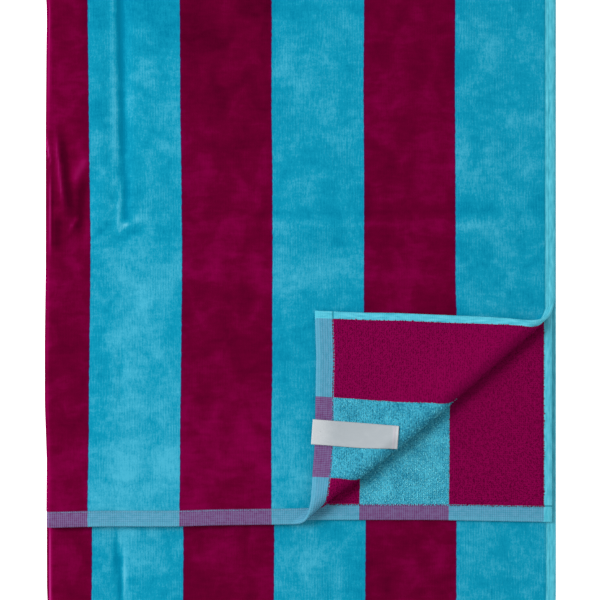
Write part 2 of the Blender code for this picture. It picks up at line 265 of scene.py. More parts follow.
FINE_CREASES = (
    Crease(-0.1732, 0.0840, 0.010, 101.0, 0.0010, 0.0004, 1.2),
    Crease(-0.1717, 0.0400, 0.030, 90.0, 0.0010, 0.0004, 1.1),
    Crease(-0.1702, 0.0420, 0.030, 91.0, 0.0010, -0.0004, -0.5),
    Crease(-0.1722, 0.1500, 0.034, 90.0, 0.0012, 0.0003, 0.4),
    Crease(-0.1655, 0.0700, 0.026, 96.0, 0.0017, 0.0009, 1.0),
    Crease(-0.1603, 0.0670, 0.028, 97.0, 0.0028, -0.0011, -1.1),
    Crease(-0.1514, 0.0696, 0.012, 62.0, 0.0050, 0.0010, 0.8),
    Crease(-0.1507, 0.0435, 0.020, 85.0, 0.0036, -0.0011, -1.0),
    Crease(-0.1559, 0.0328, 0.006, 55.0, 0.0015, 0.0006, 1.1),
    Crease(-0.1665, 0.0256, 0.012, 88.0, 0.0032, -0.0008, -0.9),
    Crease(-0.1214, 0.1500, 0.092, 91.0, 0.0034, -0.0014, 0.0),
    Crease(-0.1232, 0.1500, 0.092, 91.0, 0.0026, 0.0, -1.1),
    Crease(-0.1280, 0.1500, 0.092, 91.0, 0.0030, 0.0004, 0.6),
    Crease(-0.1120, -0.0750, 0.110, 90.0, 0.0280, 0.0, 0.4),
    Crease(-0.1229, -0.0712, 0.020, 90.0, 0.0030, -0.0003, -0.3),
    Crease(-0.1165, 0.0335, 0.009, 21.0, 0.0022, 0.0006, 0.7),
    Crease(-0.1190, 0.0250, 0.014, 24.0, 0.0026, -0.0004, -0.4),
    Crease(-0.1222, 0.0291, 0.006, 50.0, 0.0012, 0.0004, 0.6),
    Crease(-0.1020, 0.0347, 0.011, 4.0, 0.0016, 0.0002, 0.4),
    Crease(-0.1363, 0.0284, 0.010, 35.0, 0.0022, -0.0004, -0.6),
    Crease(-0.1195, 0.0480, 0.016, 88.0, 0.0022, -0.0006, -0.7),
    Crease(-0.1240, 0.0450, 0.016, 85.0, 0.0016, 0.0004, 0.7),
    Crease(-0.1226, -0.2170, 0.040, 94.3, 0.0026, -0.0012, 0.0),
    Crease(-0.1243, -0.2170, 0.040, 94.3, 0.0022, 0.0, -1.1),
    Crease(-0.1206, -0.2170, 0.040, 94.3, 0.0018, 0.0004, 1.0),
    Crease(0.0480, 0.0405, 0.130, 0.4, 0.0042, -0.0003, -0.28),
    Crease(0.0480, 0.0320, 0.130, 0.4, 0.0034, 0.0003, 0.25),
    Crease(0.0480, 0.0195, 0.130, 0.0, 0.0050, 0.0, -0.12),
    Crease(-0.0210, -0.0025, 0.130, 0.0, 0.0065, 0.0003, 0.22),
    Crease(0.0120, 0.0000, 0.040, 0.0, 0.0200, 0.0, 0.22),
    Crease(-0.0850, 0.1800, 0.110, 0.0, 0.0300, 0.0, -0.35),
    Crease(-0.0480, -0.1200, 0.060, 0.0, 0.0400, 0.0, 0.22),
)


@dataclass(frozen=True)
class Pair:
    """How a pair of leaves lies: its drift to the right, and what soft waves beside its fold take up."""

    drift: float
    upper_slack: float
    lower_slack: float


@dataclass(frozen=True)
class Roll:
    """The soft roll over which the corner is turned back, in the plan of the top leaf.

    Distances run down the roll, from the right selvedge to the front hem, and out, square to it, from the
    line where the roll leaves the leaf.
    """

    cloth: Cloth
    leaf_gap: float
    start: tuple[float, float] = (0.1752, -0.0283)
    end: tuple[float, float] = (0.0032, -0.1729)
    radius: float = 0.0050
    overturn: float = math.radians(20.0)
    gather: float = 0.0042
    skew: float = 0.266
    spread: float = 1.020
    crest_place: float = 0.62
    crest_reach: float = 0.40
    pull_reach: float = 0.024
    pull: tuple[tuple[float, float, float], ...] = (
        # distance along the roll, how far the turned corner is pulled to the right and up
        (-0.030, 0.0, 0.0010),
        (0.013, 0.0, 0.0002),
        (0.020, 0.0, 0.0008),
        (0.030, 0.0, 0.0021),
        (0.046, 0.0, 0.0026),
        (0.070, 0.0, 0.0021),
        (0.086, 0.0, 0.0019),
        (0.100, 0.0, 0.0012),
        (0.126, 0.0004, 0.0010),
        (0.150, 0.0010, 0.0013),
        (0.180, 0.0022, 0.0016),
        (0.205, 0.0020, 0.0016),
        (0.240, 0.0, 0.0010),
    )
    bow_reach: float = 0.030
    bow: Table = (
        # distance along the roll, bow
        (-0.030, 0.0),
        (0.000, 0.0),
        (0.070, 0.0022),
        (0.130, 0.0022),
        (0.180, 0.0006),
        (0.200, -0.0012),
        (0.225, 0.0),
        (0.260, 0.0),
    )
    strip_fall: float = math.radians(14.0)
    strip_reach: float = 0.050
    strip_samples: int = 400

    @cached_property
    def down(self) -> Array:
        """The way down the roll."""
        run = np.array(self.end) - np.array(self.start)
        return run / np.linalg.norm(run)

    @cached_property
    def out(self) -> Array:
        """The way out, square to the roll."""
        return np.array((-self.down[1], self.down[0]))

    @cached_property
    def origin(self) -> Array:
        """Where distances down and out are 0."""
        return np.array(self.start) - self.out * (self.radius + self.cloth.pile_thickness / 2)

    @cached_property
    def turned(self) -> float:
        """Distance along the curve to the end of the roll's round."""
        return self.radius * (math.pi + self.overturn)

    @cached_property
    def reverse_radius(self) -> float:
        """Radius of the curve that lays the turned corner flat."""
        rise = self.radius * (1 + math.cos(self.overturn)) - self.cloth.pile_thickness - self.leaf_gap
        return rise / (1 - math.cos(self.overturn))

    @cached_property
    def landed(self) -> float:
        """Distance along the curve to where the turned corner lies flat."""
        return self.turned + self.reverse_radius * self.overturn

    def plan(self, x: Array, y: Array) -> tuple[Array, Array]:
        """Distances down and out of places in the plan.

        Args:
            x: Places in X.
            y: Places in Y.

        Returns:
            The distances down and out.
        """
        dx = x - self.origin[0]
        dy = y - self.origin[1]
        return dx * self.down[0] + dy * self.down[1], dx * self.out[0] + dy * self.out[1]

    def bowing(self, down: Array, out: Array) -> Array:
        """How far out the roll's slight bow moves places."""
        return from_table(self.bow, down) * bell(out, self.bow_reach)

    def place(self, down: Array, out: Array) -> tuple[Array, Array]:
        """X and Y of distances down and out, moved by the roll's slight bow.

        Args:
            down: Distances down the roll.
            out: Distances out.

        Returns:
            X and Y of each place.
        """
        bowed = out + self.bowing(down, out)
        x = self.origin[0] + down * self.down[0] + bowed * self.out[0]
        y = self.origin[1] + down * self.down[1] + bowed * self.out[1]
        return x, y

    def ungathered(self, past: Array) -> Array:
        """Distances along the curve of cloth that is gathered in the roll.

        Args:
            past: Distances of the cloth past the roll's start.

        Returns:
            Their distances along the curve.
        """
        fullness = 1.0 + self.gather / self.turned
        gathered = np.clip(past, 0.0, self.turned * fullness)
        return past - gathered * (1.0 - 1.0 / fullness)

    def crest(self, curve: Array) -> Array:
        """How near distances along the curve are to the roll's crest, from 0 to 1."""
        return bell(curve - self.crest_place * self.turned, self.crest_reach * self.turned)

    def profile(self, past: Array, outward: Array | float) -> tuple[Array, Array]:
        """Distance out and height over the leaf's middle at a distance along the curve.

        Args:
            past: Distances along the curve from the roll's start.
            outward: Distance off the cloth's middle, positive on its face.

        Returns:
            The distances out and the heights.
        """
        turn = np.clip(past, 0.0, self.turned) / self.radius
        out = self.radius * np.sin(turn)
        height = self.radius * (1 - np.cos(turn))
        back = np.clip((past - self.turned) / self.reverse_radius, 0.0, self.overturn)
        turn = turn - back
        over = math.pi + self.overturn
        out += self.reverse_radius * (math.sin(over) - np.sin(turn)) * (back > 0)
        height += self.reverse_radius * (np.cos(turn) - math.cos(over)) * (back > 0)
        out += np.minimum(past, 0.0)
        out -= self.spread * np.maximum(past - self.landed, 0.0)
        return out - outward * np.sin(turn), height + outward * np.cos(turn)

    def bend(self, down: Array, past: Array, outward: Array | float) -> tuple[Array, Array, Array]:
        """Places of the top leaf and of its turned corner.

        Args:
            down: Distances down the roll.
            past: Distances past the roll's start.
            outward: Distances off the cloth's middle, positive on its face.

        Returns:
            X, Y and the height over the leaf's middle.
        """
        out, height = self.profile(self.ungathered(past), outward)
        down = down + self.skew * np.maximum(past, 0.0)
        x, y = self.place(down, out)
        pulled = smooth(past / self.pull_reach)
        places, right, up = zip(*self.pull)
        x = x + np.interp(down, places, right) * pulled
        y = y + np.interp(down, places, up) * pulled
        return x, y, height

    def strip_height(self, x: Array, y: Array, clearance: float) -> Array:
        """Height over the leaf's middle of a stiff strip that lies on the turned corner.

        Its underside follows the corner's upper side at a clearance, and runs straight on where the roll
        falls away too steeply.

        Args:
            x: Places of the strip in X.
            y: Places of the strip in Y.
            clearance: Distance that the strip keeps from the corner.

        Returns:
            The height of the strip's underside at each place.
        """
        down, bowed = self.plan(x, y)
        out = bowed - self.bowing(down, bowed)
        steepest = self.radius * (math.pi - self.strip_fall)
        curve = np.linspace(steepest, self.landed + self.strip_reach, self.strip_samples)
        outs, heights = self.profile(curve, -self.cloth.pile_thickness / 2 - clearance)
        free = np.maximum(out - outs[0], 0.0)
        return np.interp(-out, -outs, heights) - free * math.tan(self.strip_fall)


@dataclass(frozen=True)
class Fold:
    """How the cloth lies: doubled lengthwise, folded in three across, with a corner turned back."""

    cloth: Cloth = Cloth()
    leaf_gap: float = 0.0008
    folded_width: float = 0.350
    folded_length: float = 0.502
    hem_setback: float = 0.076
    pairs: tuple[Pair, Pair, Pair] = (
        Pair(0.0, 0.0016, 0.0033),
        Pair(0.0012, 0.0024, 0.0016),
        Pair(-0.0008, 0.0020, 0.0026),
    )
    slack_reach: float = 0.030
    pair_blend: float = 0.060
    hem_line_reach: float = 0.300
    hem_line: Table = (
        # across, how far the front hem lies inside its straight line
        (-0.350, 0.0028),
        (-0.270, 0.0043),
        (-0.150, 0.0043),
        (-0.040, 0.0010),
        (0.000, -0.0009),
        (0.040, 0.0000),
        (0.090, 0.0000),
        (0.120, 0.0009),
        (0.200, 0.0018),
        (0.270, 0.0012),
        (0.315, 0.0014),
        (0.350, 0.0000),
    )
    left_edge_reach: float = 0.025
    left_edge: Table = (
        # y, how far the fold on the left wanders
        (-0.250, 0.0008),
        (-0.210, 0.0004),
        (-0.170, 0.0004),
        (-0.130, 0.0007),
        (-0.090, -0.0007),
        (-0.050, -0.0007),
        (0.000, 0.0000),
        (0.100, 0.0000),
        (0.150, 0.0004),
        (0.180, 0.0008),
        (0.200, -0.0006),
        (0.250, 0.0002),
    )
    # A painted highlight: a thin lighter line just inside the fold on the left, where the pile's sheen
    # catches the light.
    painted_edge_highlight_inset: float = 0.0022
    painted_edge_highlight_reach: float = 0.0011
    painted_edge_highlight: Table = (
        # y, strength of the painted highlight along the fold on the left
        (-0.250, 1.6),
        (-0.185, 1.3),
        (-0.170, 0.5),
        (-0.010, 0.5),
        (0.010, 0.2),
        (0.090, 0.2),
        (0.105, 0.5),
        (0.150, 0.6),
        (0.180, 1.0),
        (0.250, 0.5),
    )
    creases: tuple[Crease, ...] = MAIN_CREASES + FINE_CREASES

    @cached_property
    def roll(self) -> Roll:
        """The roll at the turned-back corner."""
        return Roll(self.cloth, self.leaf_gap)

    @cached_property
    def leaf_offset(self) -> float:
        """Height of a leaf's middle over its pair's middle."""
        return (self.cloth.pile_thickness + self.leaf_gap) / 2

    @cached_property
    def arc(self) -> float:
        """Length of cloth in a quarter turn of the lengthwise fold."""
        return self.leaf_offset * math.pi / 2

    @cached_property
    def fold_radius(self) -> float:
        """Radius of a pair's middle in the cross folds."""
        return self.cloth.pile_thickness + self.leaf_gap

    @cached_property
    def pair_half_thickness(self) -> float:
        """Half the thickness of a pair of leaves."""
        return self.cloth.pile_thickness + self.leaf_gap / 2

    @cached_property
    def levels(self) -> tuple[float, float, float]:
        """Heights of the middles of the bottom, middle and top pairs."""
        bottom = self.pair_half_thickness
        return bottom, bottom + 2 * self.fold_radius, bottom + 4 * self.fold_radius

    @cached_property
    def stack_height(self) -> float:
        """Height of the flat stack."""
        return self.levels[2] + self.pair_half_thickness

    @cached_property
    def tangent(self) -> float:
        """Distance in Y from the middle to where the cross folds start."""
        return self.folded_length / 2 - self.fold_radius - self.pair_half_thickness

    @cached_property
    def hem_y(self) -> float:
        """Place of the front hem in Y."""
        return self.hem_setback - self.folded_length / 2

    @cached_property
    def fold_x(self) -> float:
        """Centre of the lengthwise fold in X."""
        return -self.folded_width / 2 + self.pair_half_thickness

    @cached_property
    def left_x(self) -> float:
        """Place in X of the stack's left side, where the lengthwise fold lies."""
        return self.fold_x - self.pair_half_thickness

    @cached_property
    def top_run(self) -> float:
        """Length of the strip from the front hem to the back fold."""
        return self.tangent - self.hem_y

    @cached_property
    def middle_run(self) -> float:
        """Length of the strip from the back fold to the front fold."""
        return 2 * self.tangent

    @cached_property
    def fold_run(self) -> float:
        """Length of the strip in a cross fold."""
        return math.pi * self.fold_radius

    def pair_values(self, along: Array) -> list[Array]:
        """How the pair of leaves lies at distances along the strip.

        Args:
            along: The distances.

        Returns:
            Its drift, its upper slack and its lower slack.
        """
        back_fold = self.top_run + self.fold_run / 2
        front_fold = back_fold + self.fold_run + self.middle_run
        past_back = smooth((along - back_fold) / self.pair_blend + 0.5)
        past_front = smooth((along - front_fold) / self.pair_blend + 0.5)
        values = []
        for name in ("drift", "upper_slack", "lower_slack"):
            top, middle, bottom = (getattr(pair, name) for pair in self.pairs)
            values.append(top + (middle - top) * past_back + (bottom - middle) * past_front)
        return values

    def settled(self, across: Array, along: Array) -> tuple[Array, Array]:
        """Distances on the cloth once its slack and its skewed front hem are taken up.

        Args:
            across: Places across the cloth.
            along: Places along the cloth.

        Returns:
            The settled distances across and along.
        """
        _, upper_slack, lower_slack = self.pair_values(along)
        slack = np.where(across > 0, upper_slack, lower_slack)
        taken = slack * smooth((np.abs(across) - self.arc) / self.slack_reach)
        hem = from_table(self.hem_line, across) * (1.0 - smooth(along / self.hem_line_reach))
        return across - np.sign(across) * taken, along + hem

    def hairpin(self, across: Array, outward: Array | float) -> tuple[Array, Array]:
        """The section of a pair of leaves, round its lengthwise fold.

        Args:
            across: Settled distances across.
            outward: Distances off the cloth's middle, positive on its face.

        Returns:
            The distance from the fold's centre and the height over the pair's middle.
        """
        turn = np.clip(across / self.leaf_offset, -math.pi / 2, math.pi / 2)
        run = np.maximum(np.abs(across) - self.arc, 0.0)
        radius = self.leaf_offset + outward
        return run - radius * np.cos(turn), radius * np.sin(turn)

    def in_three(self, along: Array, lift: Array) -> tuple[Array, Array]:
        """Y and Z of a point of the strip, lifted off the pair's middle on the side that is up in front.

        Args:
            along: Settled distances along the strip.
            lift: Heights over the pair's middle.

        Returns:
            Y and Z of each point.
        """
        radius = self.fold_radius
        bottom_level, middle_level, top_level = self.levels
        back = (along - self.top_run) / radius
        middle = along - self.top_run - self.fold_run
        front = (middle - self.middle_run) / radius
        bottom = middle - self.middle_run - self.fold_run
        where = [back <= 0, back <= math.pi, front <= 0, front <= math.pi]
        ys = [
            self.hem_y + along,
            self.tangent + (radius + lift) * np.sin(back),
            self.tangent - middle,
            -self.tangent - (radius - lift) * np.sin(front),
        ]
        zs = [
            top_level + lift,
            top_level - radius + (radius + lift) * np.cos(back),
            middle_level - lift,
            middle_level - radius + (radius - lift) * np.cos(front),
        ]
        return np.select(where, ys, -self.tangent + bottom), np.select(where, zs, bottom_level + lift)

    def creased(self, x: Array, y: Array, z: Array) -> Array:
        """Points with the stack's troughs and ridges, which grow from nothing at the bottom.

        Args:
            x: Their X.
            y: Their Y.
            z: Their Z in the flat stack.

        Returns:
            The points, one row each.
        """
        relief = np.zeros_like(z)
        for crease in self.creases:
            relief += crease.height * crease.strength(x, y)
        return np.stack([x, y, z * (1.0 + relief / self.stack_height)], axis=-1)

    def wander(self, x: Array, y: Array) -> Array:
        """How far a place moves with the wandering fold on the left."""
        return from_table(self.left_edge, y) * (1.0 - smooth((x - self.left_x) / self.left_edge_reach))

    def on_roll(self, across: Array, along: Array) -> tuple[Array, Array, Array]:
        """Where settled places lie by the roll.

        Args:
            across: Settled distances across.
            along: Settled distances along.

        Returns:
            Whether they are on the top leaf, and how far down the roll and past its start they lie.
        """
        drift, _, _ = self.pair_values(along)
        flat_x = self.fold_x + np.maximum(np.abs(across) - self.arc, 0.0) + drift
        down, past = self.roll.plan(flat_x, self.hem_y + along)
        top_leaf = (across > self.arc) & (along < self.top_run)
        return top_leaf, down, past

    def laid(self, across: Array, along: Array, outward: Array | float) -> Array:
        """Points of the folded towel.

        Args:
            across: Settled distances across.
            along: Settled distances along.
            outward: Distances outward from the cloth's middle, positive on its face.

        Returns:
            Their places in space, one row each.
        """
        drift, _, _ = self.pair_values(along)
        section_x, lift = self.hairpin(across, outward)
        x = self.fold_x + section_x + drift
        y, z = self.in_three(along, lift)
        top_leaf, down, past = self.on_roll(across, along)
        bent_x, bent_y, height = self.roll.bend(down, past, outward)
        x = np.where(top_leaf, bent_x, x)
        y = np.where(top_leaf, bent_y, y)
        z = np.where(top_leaf, self.levels[2] + self.leaf_offset + height, z)
        return self.creased(x + self.wander(x, y), y, z)

    def surface(self, across: Array, along: Array, side: Side, lift: float = 0.0) -> Array:
        """Points of one side of the folded towel at places on the cloth, lifted off it."""
        half = self.cloth.half_thickness(across, along) + lift
        return self.laid(*self.settled(across, along), side.value * half)

    def normals_at(self, across: Array, along: Array, side: Side, lift: float) -> Array:
        """Unit normals of one side at places on the cloth, lifted off it."""
        above = self.surface(across, along, side, lift + NEAR)
        return unit(above - self.surface(across, along, side, lift))

    def ways_at(
        self, across: Array, along: Array, side: Side, lift: float, way: tuple[float, float]
    ) -> Array:
        """Unit ways over one side, lifted off it, where a way is given by its run across and along."""
        onward = self.surface(across + way[0] * NEAR, along + way[1] * NEAR, side, lift)
        return unit(onward - self.surface(across, along, side, lift))

    def painted_light_at(self, points: Array) -> Array:
        """The painted light: painted shade in the creases' troughs, painted highlights on their ridges and
        along the fold on the left.

        Args:
            points: Points of the towel, one row each.

        Returns:
            The painted light at each point.
        """
        x, y = points[:, 0], points[:, 1]
        from_edge = x - self.left_x - self.wander(x, y)
        # A painted highlight just inside the fold on the left, then the creases' painted shade and
        # highlights.
        painted_light = from_table(self.painted_edge_highlight, y) * bell(from_edge - self.painted_edge_highlight_inset, self.painted_edge_highlight_reach)
        for crease in self.creases:
            painted_light += crease.painted_light * crease.strength(x, y)
        return painted_light


class Signal:
    """A number that a node tree works out: a wrapped output socket with Python's operators."""

    def __init__(self, tree: "Tree", socket: bpy.types.NodeSocket) -> None:
        """Wraps an output socket of a tree."""
        self.tree = tree
        self.socket = socket

    def _math(self, operation: str, *values: "Signal | float") -> "Signal":
        """A Math node on the given values."""
        return self.tree.value("ShaderNodeMath", {"operation": operation}, dict(enumerate(values)))

    def __add__(self, other: "Signal | float") -> "Signal":
        """self + other."""
        return self._math("ADD", self, other)

    __radd__ = __add__

    def __mul__(self, other: "Signal | float") -> "Signal":
        """self * other."""
        return self._math("MULTIPLY", self, other)

    def __sub__(self, other: "Signal | float") -> "Signal":
        """self - other."""
        return self._math("SUBTRACT", self, other)

    def __rsub__(self, other: "Signal | float") -> "Signal":
        """other - self."""
        return self._math("SUBTRACT", other, self)

    def __truediv__(self, other: "Signal | float") -> "Signal":
        """self / other."""
        return self._math("DIVIDE", self, other)

    def __mod__(self, other: "Signal | float") -> "Signal":
        """The positive remainder of self / other."""
        return self._math("FLOORED_MODULO", self, other)

    def __neg__(self) -> "Signal":
        """The value with its sign turned."""
        return self * -1.0

    def __abs__(self) -> "Signal":
        """The value without its sign."""
        return self._math("ABSOLUTE", self)

    def wave(self, pitch: float) -> "Signal":
        """A wave of the given length along the value, from -1 to 1."""
        return self._math("SINE", self * (2 * math.pi / pitch))

    def least(self, other: "Signal | float") -> "Signal":
        """The lesser of two values."""
        return self._math("MINIMUM", self, other)

    def most(self, other: "Signal | float") -> "Signal":
        """The greater of two values."""
        return self._math("MAXIMUM", self, other)

    def rise(self, low: float, high: float) -> "Signal":
        """A soft step from 0 at low to 1 at high."""
        sockets = {"Value": self, "From Min": low, "From Max": high}
        return self.tree.value("ShaderNodeMapRange", {"interpolation_type": "SMOOTHSTEP"}, sockets)

    def hump(self, reach: float) -> "Signal":
        """A soft hump of 1 where the value is 0, gone at the reach."""
        return 1.0 - abs(self).rise(0.0, reach)


class Tree:
    """A node tree, to which nodes are added by one method."""

    def __init__(self, tree: bpy.types.NodeTree) -> None:
        """Wraps a node tree and empties it."""
        self.tree = tree
        self.tree.nodes.clear()

    def add(
        self,
        kind: str,
        settings: dict[str, object] | None = None,
        sockets: dict[int | str, object] | None = None,
    ) -> bpy.types.Node:
        """Adds a node.

        Args:
            kind: The node's type.
            settings: Its properties, or a colour ramp's stops, which are set first.
            sockets: Values or links of its input sockets, by name or number.

        Returns:
            The node.
        """
        node = self.tree.nodes.new(kind)
        for name, value in (settings or {}).items():
            if name == "stops":
                self._set_stops(node, value)
            else:
                setattr(node, name, value)
        for key, value in (sockets or {}).items():
            if isinstance(value, Signal):
                self.tree.links.new(value.socket, node.inputs[key])
            elif isinstance(value, bpy.types.NodeSocket):
                self.tree.links.new(value, node.inputs[key])
            else:
                node.inputs[key].default_value = value
        return node

    def _set_stops(self, node: bpy.types.Node, stops: Sequence[tuple[float, Colour]]) -> None:
        """Sets a colour ramp's stops.

        Args:
            node: The colour ramp.
            stops: The place and the colour of each stop.
        """
        elements = node.color_ramp.elements
        while len(elements) < len(stops):
            elements.new(1.0)
        for element, (place, colour) in zip(elements, stops):
            element.position = place
            element.color = (*colour, 1.0)

    def value(self, kind: str, settings: dict[str, object], sockets: dict[int | str, object]) -> Signal:
        """Adds a node and wraps its first output."""
        return Signal(self, self.add(kind, settings, sockets).outputs[0])

    def vector(self, x: Signal | float, y: Signal | float, z: Signal | float) -> bpy.types.NodeSocket:
        """A vector of three numbers."""
        return self.add("ShaderNodeCombineXYZ", {}, {0: x, 1: y, 2: z}).outputs[0]


class Shader(Tree):
    """The node tree of one material."""

    def __init__(self, name: str) -> None:
        """Makes an empty material.

        Args:
            name: The material's name.
        """
        self.material = bpy.data.materials.new(name)
        self.material.use_nodes = True
        super().__init__(self.material.node_tree)

    def attribute(self, name: str) -> bpy.types.Node:
        """Reads an attribute of the piece."""
        return self.add("ShaderNodeAttribute", {"attribute_type": "GEOMETRY", "attribute_name": name})

    def number(self, name: str) -> Signal:
        """Reads a number that the piece carries."""
        return Signal(self, self.attribute(name).outputs["Fac"])

    def mix(self, share: Signal | float, first: object, second: object) -> bpy.types.NodeSocket:
        """A colour between two others.

        Args:
            share: How far it lies towards the second.
            first: The first colour or its link.
            second: The second colour or its link.

        Returns:
            The colour's link.
        """
        pair = [(*colour, 1.0) if isinstance(colour, tuple) else colour for colour in (first, second)]
        # Of a Mix node's sockets, 6 and 7 are its two colours and output 2 is the mixed one.
        sockets = {0: share, 6: pair[0], 7: pair[1]}
        return self.add("ShaderNodeMix", {"data_type": "RGBA", "clamp_factor": True}, sockets).outputs[2]

    def bump(self, height: Signal, depth: float) -> bpy.types.NodeSocket:
        """A normal from a height between 0 and 1 over a depth in metres."""
        sockets = {"Strength": 1.0, "Distance": depth, "Height": height}
        return self.add("ShaderNodeBump", {}, sockets).outputs[0]

    def surface(
        self,
        colour: object,
        normal: bpy.types.NodeSocket | None,
        roughness: float,
        sheen: float = 0.0,
        sheen_tint: Colour = WHITE,
        specular: float = 0.0,
    ) -> bpy.types.NodeSocket:
        """A Principled BSDF.

        Args:
            colour: The base colour or its link.
            normal: The bumped normal, if there is one.
            roughness: The roughness.
            sheen: Weight of the fibres' sheen.
            sheen_tint: Tint of the sheen.
            specular: Specular level.

        Returns:
            The shader's output.
        """
        sockets = {
            "Base Color": (*colour, 1.0) if isinstance(colour, tuple) else colour,
            "Roughness": roughness,
            "Sheen Weight": sheen,
            "Sheen Roughness": SHEEN_ROUGHNESS,
            "Sheen Tint": (*sheen_tint, 1.0),
            "Specular IOR Level": specular,
        }
        if normal is not None:
            sockets["Normal"] = normal
        return self.add("ShaderNodeBsdfPrincipled", {}, sockets).outputs[0]

    def finish(self, surface: bpy.types.NodeSocket) -> bpy.types.Material:
        """Links the surface to the material's output."""
        self.add("ShaderNodeOutputMaterial", {}, {"Surface": surface})
        return self.material


@dataclass(frozen=True)
class Mottle:
    """Soft noise about 0, from about -0.5 to 0.5.

    Sizes are those of a patch across and along. The seed is the noise's place, which gives each use its
    own pattern, detail is how many finer layers it has, and bend is how far its patches are bent.
    """

    sizes: tuple[float, float]
    seed: float
    detail: float = 2.0
    bend: float = 0.0


class ClothShader(Shader):
    """The node tree of a finish that follows places across, along and outward of the cloth, in metres."""

    def __init__(self, name: str) -> None:
        """Makes the material and reads the places.

        Args:
            name: The material's name.
        """
        super().__init__(name)
        place = self.attribute(CLOTH_PLACE).outputs["Vector"]
        parts = self.add("ShaderNodeSeparateXYZ", {}, {0: place})
        self.across, self.along, self.outward = (Signal(self, part) for part in parts.outputs)

    def mottled(self, mottle: Mottle) -> Signal:
        """The noise of a mottle over the cloth.

        Args:
            mottle: The sizes and the place of the noise.

        Returns:
            The noise.
        """
        width, height = mottle.sizes
        place = self.vector(self.across / width, self.along / height, mottle.seed)
        sockets = {"Vector": place, "Scale": 1.0, "Detail": mottle.detail, "Distortion": mottle.bend}
        return self.value("ShaderNodeTexNoise", {"noise_dimensions": "3D"}, sockets) - 0.5


@dataclass(frozen=True)
class Tones:
    """Three tones of one dyed yarn: deep in its shade, usual, and brushed light."""

    deep: Colour
    usual: Colour
    light: Colour

    def ramp(self, shader: Shader, tone: Signal) -> bpy.types.NodeSocket:
        """The yarn's colour for a tone from 0, deep, to 1, light."""
        stops = [(0.0, self.deep), (0.5, self.usual), (1.0, self.light)]
        return shader.add("ShaderNodeValToRGB", {"stops": stops}, {0: tone}).outputs[0]


@dataclass(frozen=True)
class Yarn:
    """One dyed yarn: its tones, how much grain shows in it, and its painted highlight or shade colour."""

    tones: Tones
    grain: float
    turned: Colour
    highlight_or_shade_share: float = 1.0

    def colour(self, shader: Shader, tone: Signal, grain: Signal, turned: Signal) -> bpy.types.NodeSocket:
        """The yarn's colour for a tone, to which the grain adds, and for how far it turns to its painted
        highlight or shade.
        """
        dyed = self.tones.ramp(shader, tone + grain * self.grain)
        return shader.mix(turned * self.highlight_or_shade_share, dyed, self.turned)


@dataclass(frozen=True)
class Stripes:
    """The two dyed yarns and where they lie across the cloth."""

    cloth: Cloth
    waver: float = 0.0004
    waver_mottle: Mottle = Mottle((0.02, 0.0035), 7.0, 1.0)
    drift: float = 0.0016
    drift_mottle: Mottle = Mottle((0.3, 0.09), 61.0, 1.0)
    spread: float = 1.0036
    bow: float = 0.0022
    bow_rest: float = 0.60
    bow_centre: float = 0.185
    bow_reach: float = 0.200
    bow_fades_across: tuple[float, float] = (0.06, 0.26)
    bow_fades_along: tuple[float, float] = (0.40, 0.50)
    front_fades: tuple[float, float] = (0.10, 0.20)
    lower_start: float = 0.210
    lower_gather: float = 0.022
    corner_starts: tuple[float, float] = (0.20, 0.26)
    corner_shift: float = 0.0016
    end_inset: float = 0.0040
    softness: float = 0.00018
    roughness: float = 0.95

    def _moved(self, across: Signal, along: Signal) -> Signal:
        """How far the stripes lie nearer the lengthwise fold than they were woven, as the cloth settled.

        Args:
            across: Places across the cloth.
            along: Places along the cloth.

        Returns:
            The distance.
        """
        middle = (along - self.bow_centre).hump(self.bow_reach)
        upper = (1.0 - across.rise(*self.bow_fades_across)) * (1.0 - along.rise(*self.bow_fades_along))
        front = 1.0 - along.rise(*self.front_fades)
        under = (-across - self.lower_start).most(0.0) * self.lower_gather
        corner = across.rise(*self.corner_starts) * self.corner_shift
        return (self.bow_rest - middle) * upper * self.bow + (under - corner) * front

    def inside(self, shader: ClothShader, side: Side) -> Signal:
        """Distance into the plum stripe, negative in the turquoise one, with a slightly uneven edge.

        Args:
            shader: The material's tree.
            side: The side of the cloth, because the reverse has the two yarns swapped.

        Returns:
            The signed distance.
        """
        width = self.cloth.stripe_width * self.spread
        uneven = shader.mottled(self.waver_mottle) * (2 * self.waver)
        uneven = uneven + shader.mottled(self.drift_mottle) * self.drift
        place = abs(shader.across).least(self.cloth.pile_half_width - self.end_inset)
        stripe = (place + width + uneven + self._moved(shader.across, shader.along)) % (2 * width)
        distance = 0.5 * width - abs(stripe - width)
        return distance * float(side.value)

    def plum(self, inside: Signal) -> Signal:
        """1 in the plum stripe and 0 in the turquoise one."""
        return inside.rise(-self.softness, self.softness)

    def both(
        self,
        shader: ClothShader,
        inside: Signal,
        colours: Sequence[bpy.types.NodeSocket],
        normal: bpy.types.NodeSocket,
        sheen: float = 0.0,
        tints: tuple[Colour, Colour] = (WHITE, WHITE),
    ) -> bpy.types.Material:
        """Finishes a material whose plum and turquoise yarns meet at the stripes' edges.

        Args:
            shader: The material's tree.
            inside: Distance into the plum stripe.
            colours: The links of the plum and of the turquoise.
            normal: The bumped normal.
            sheen: Weight of the fibres' sheen.
            tints: The sheen's tint on the plum and on the turquoise.

        Returns:
            The material.
        """
        plum, turquoise = (
            shader.surface(colour, normal, self.roughness, sheen, tint)
            for colour, tint in zip(colours, tints)
        )
        mixed = shader.add("ShaderNodeMixShader", {}, {0: self.plum(inside), 1: turquoise, 2: plum})
        return shader.finish(mixed.outputs[0])


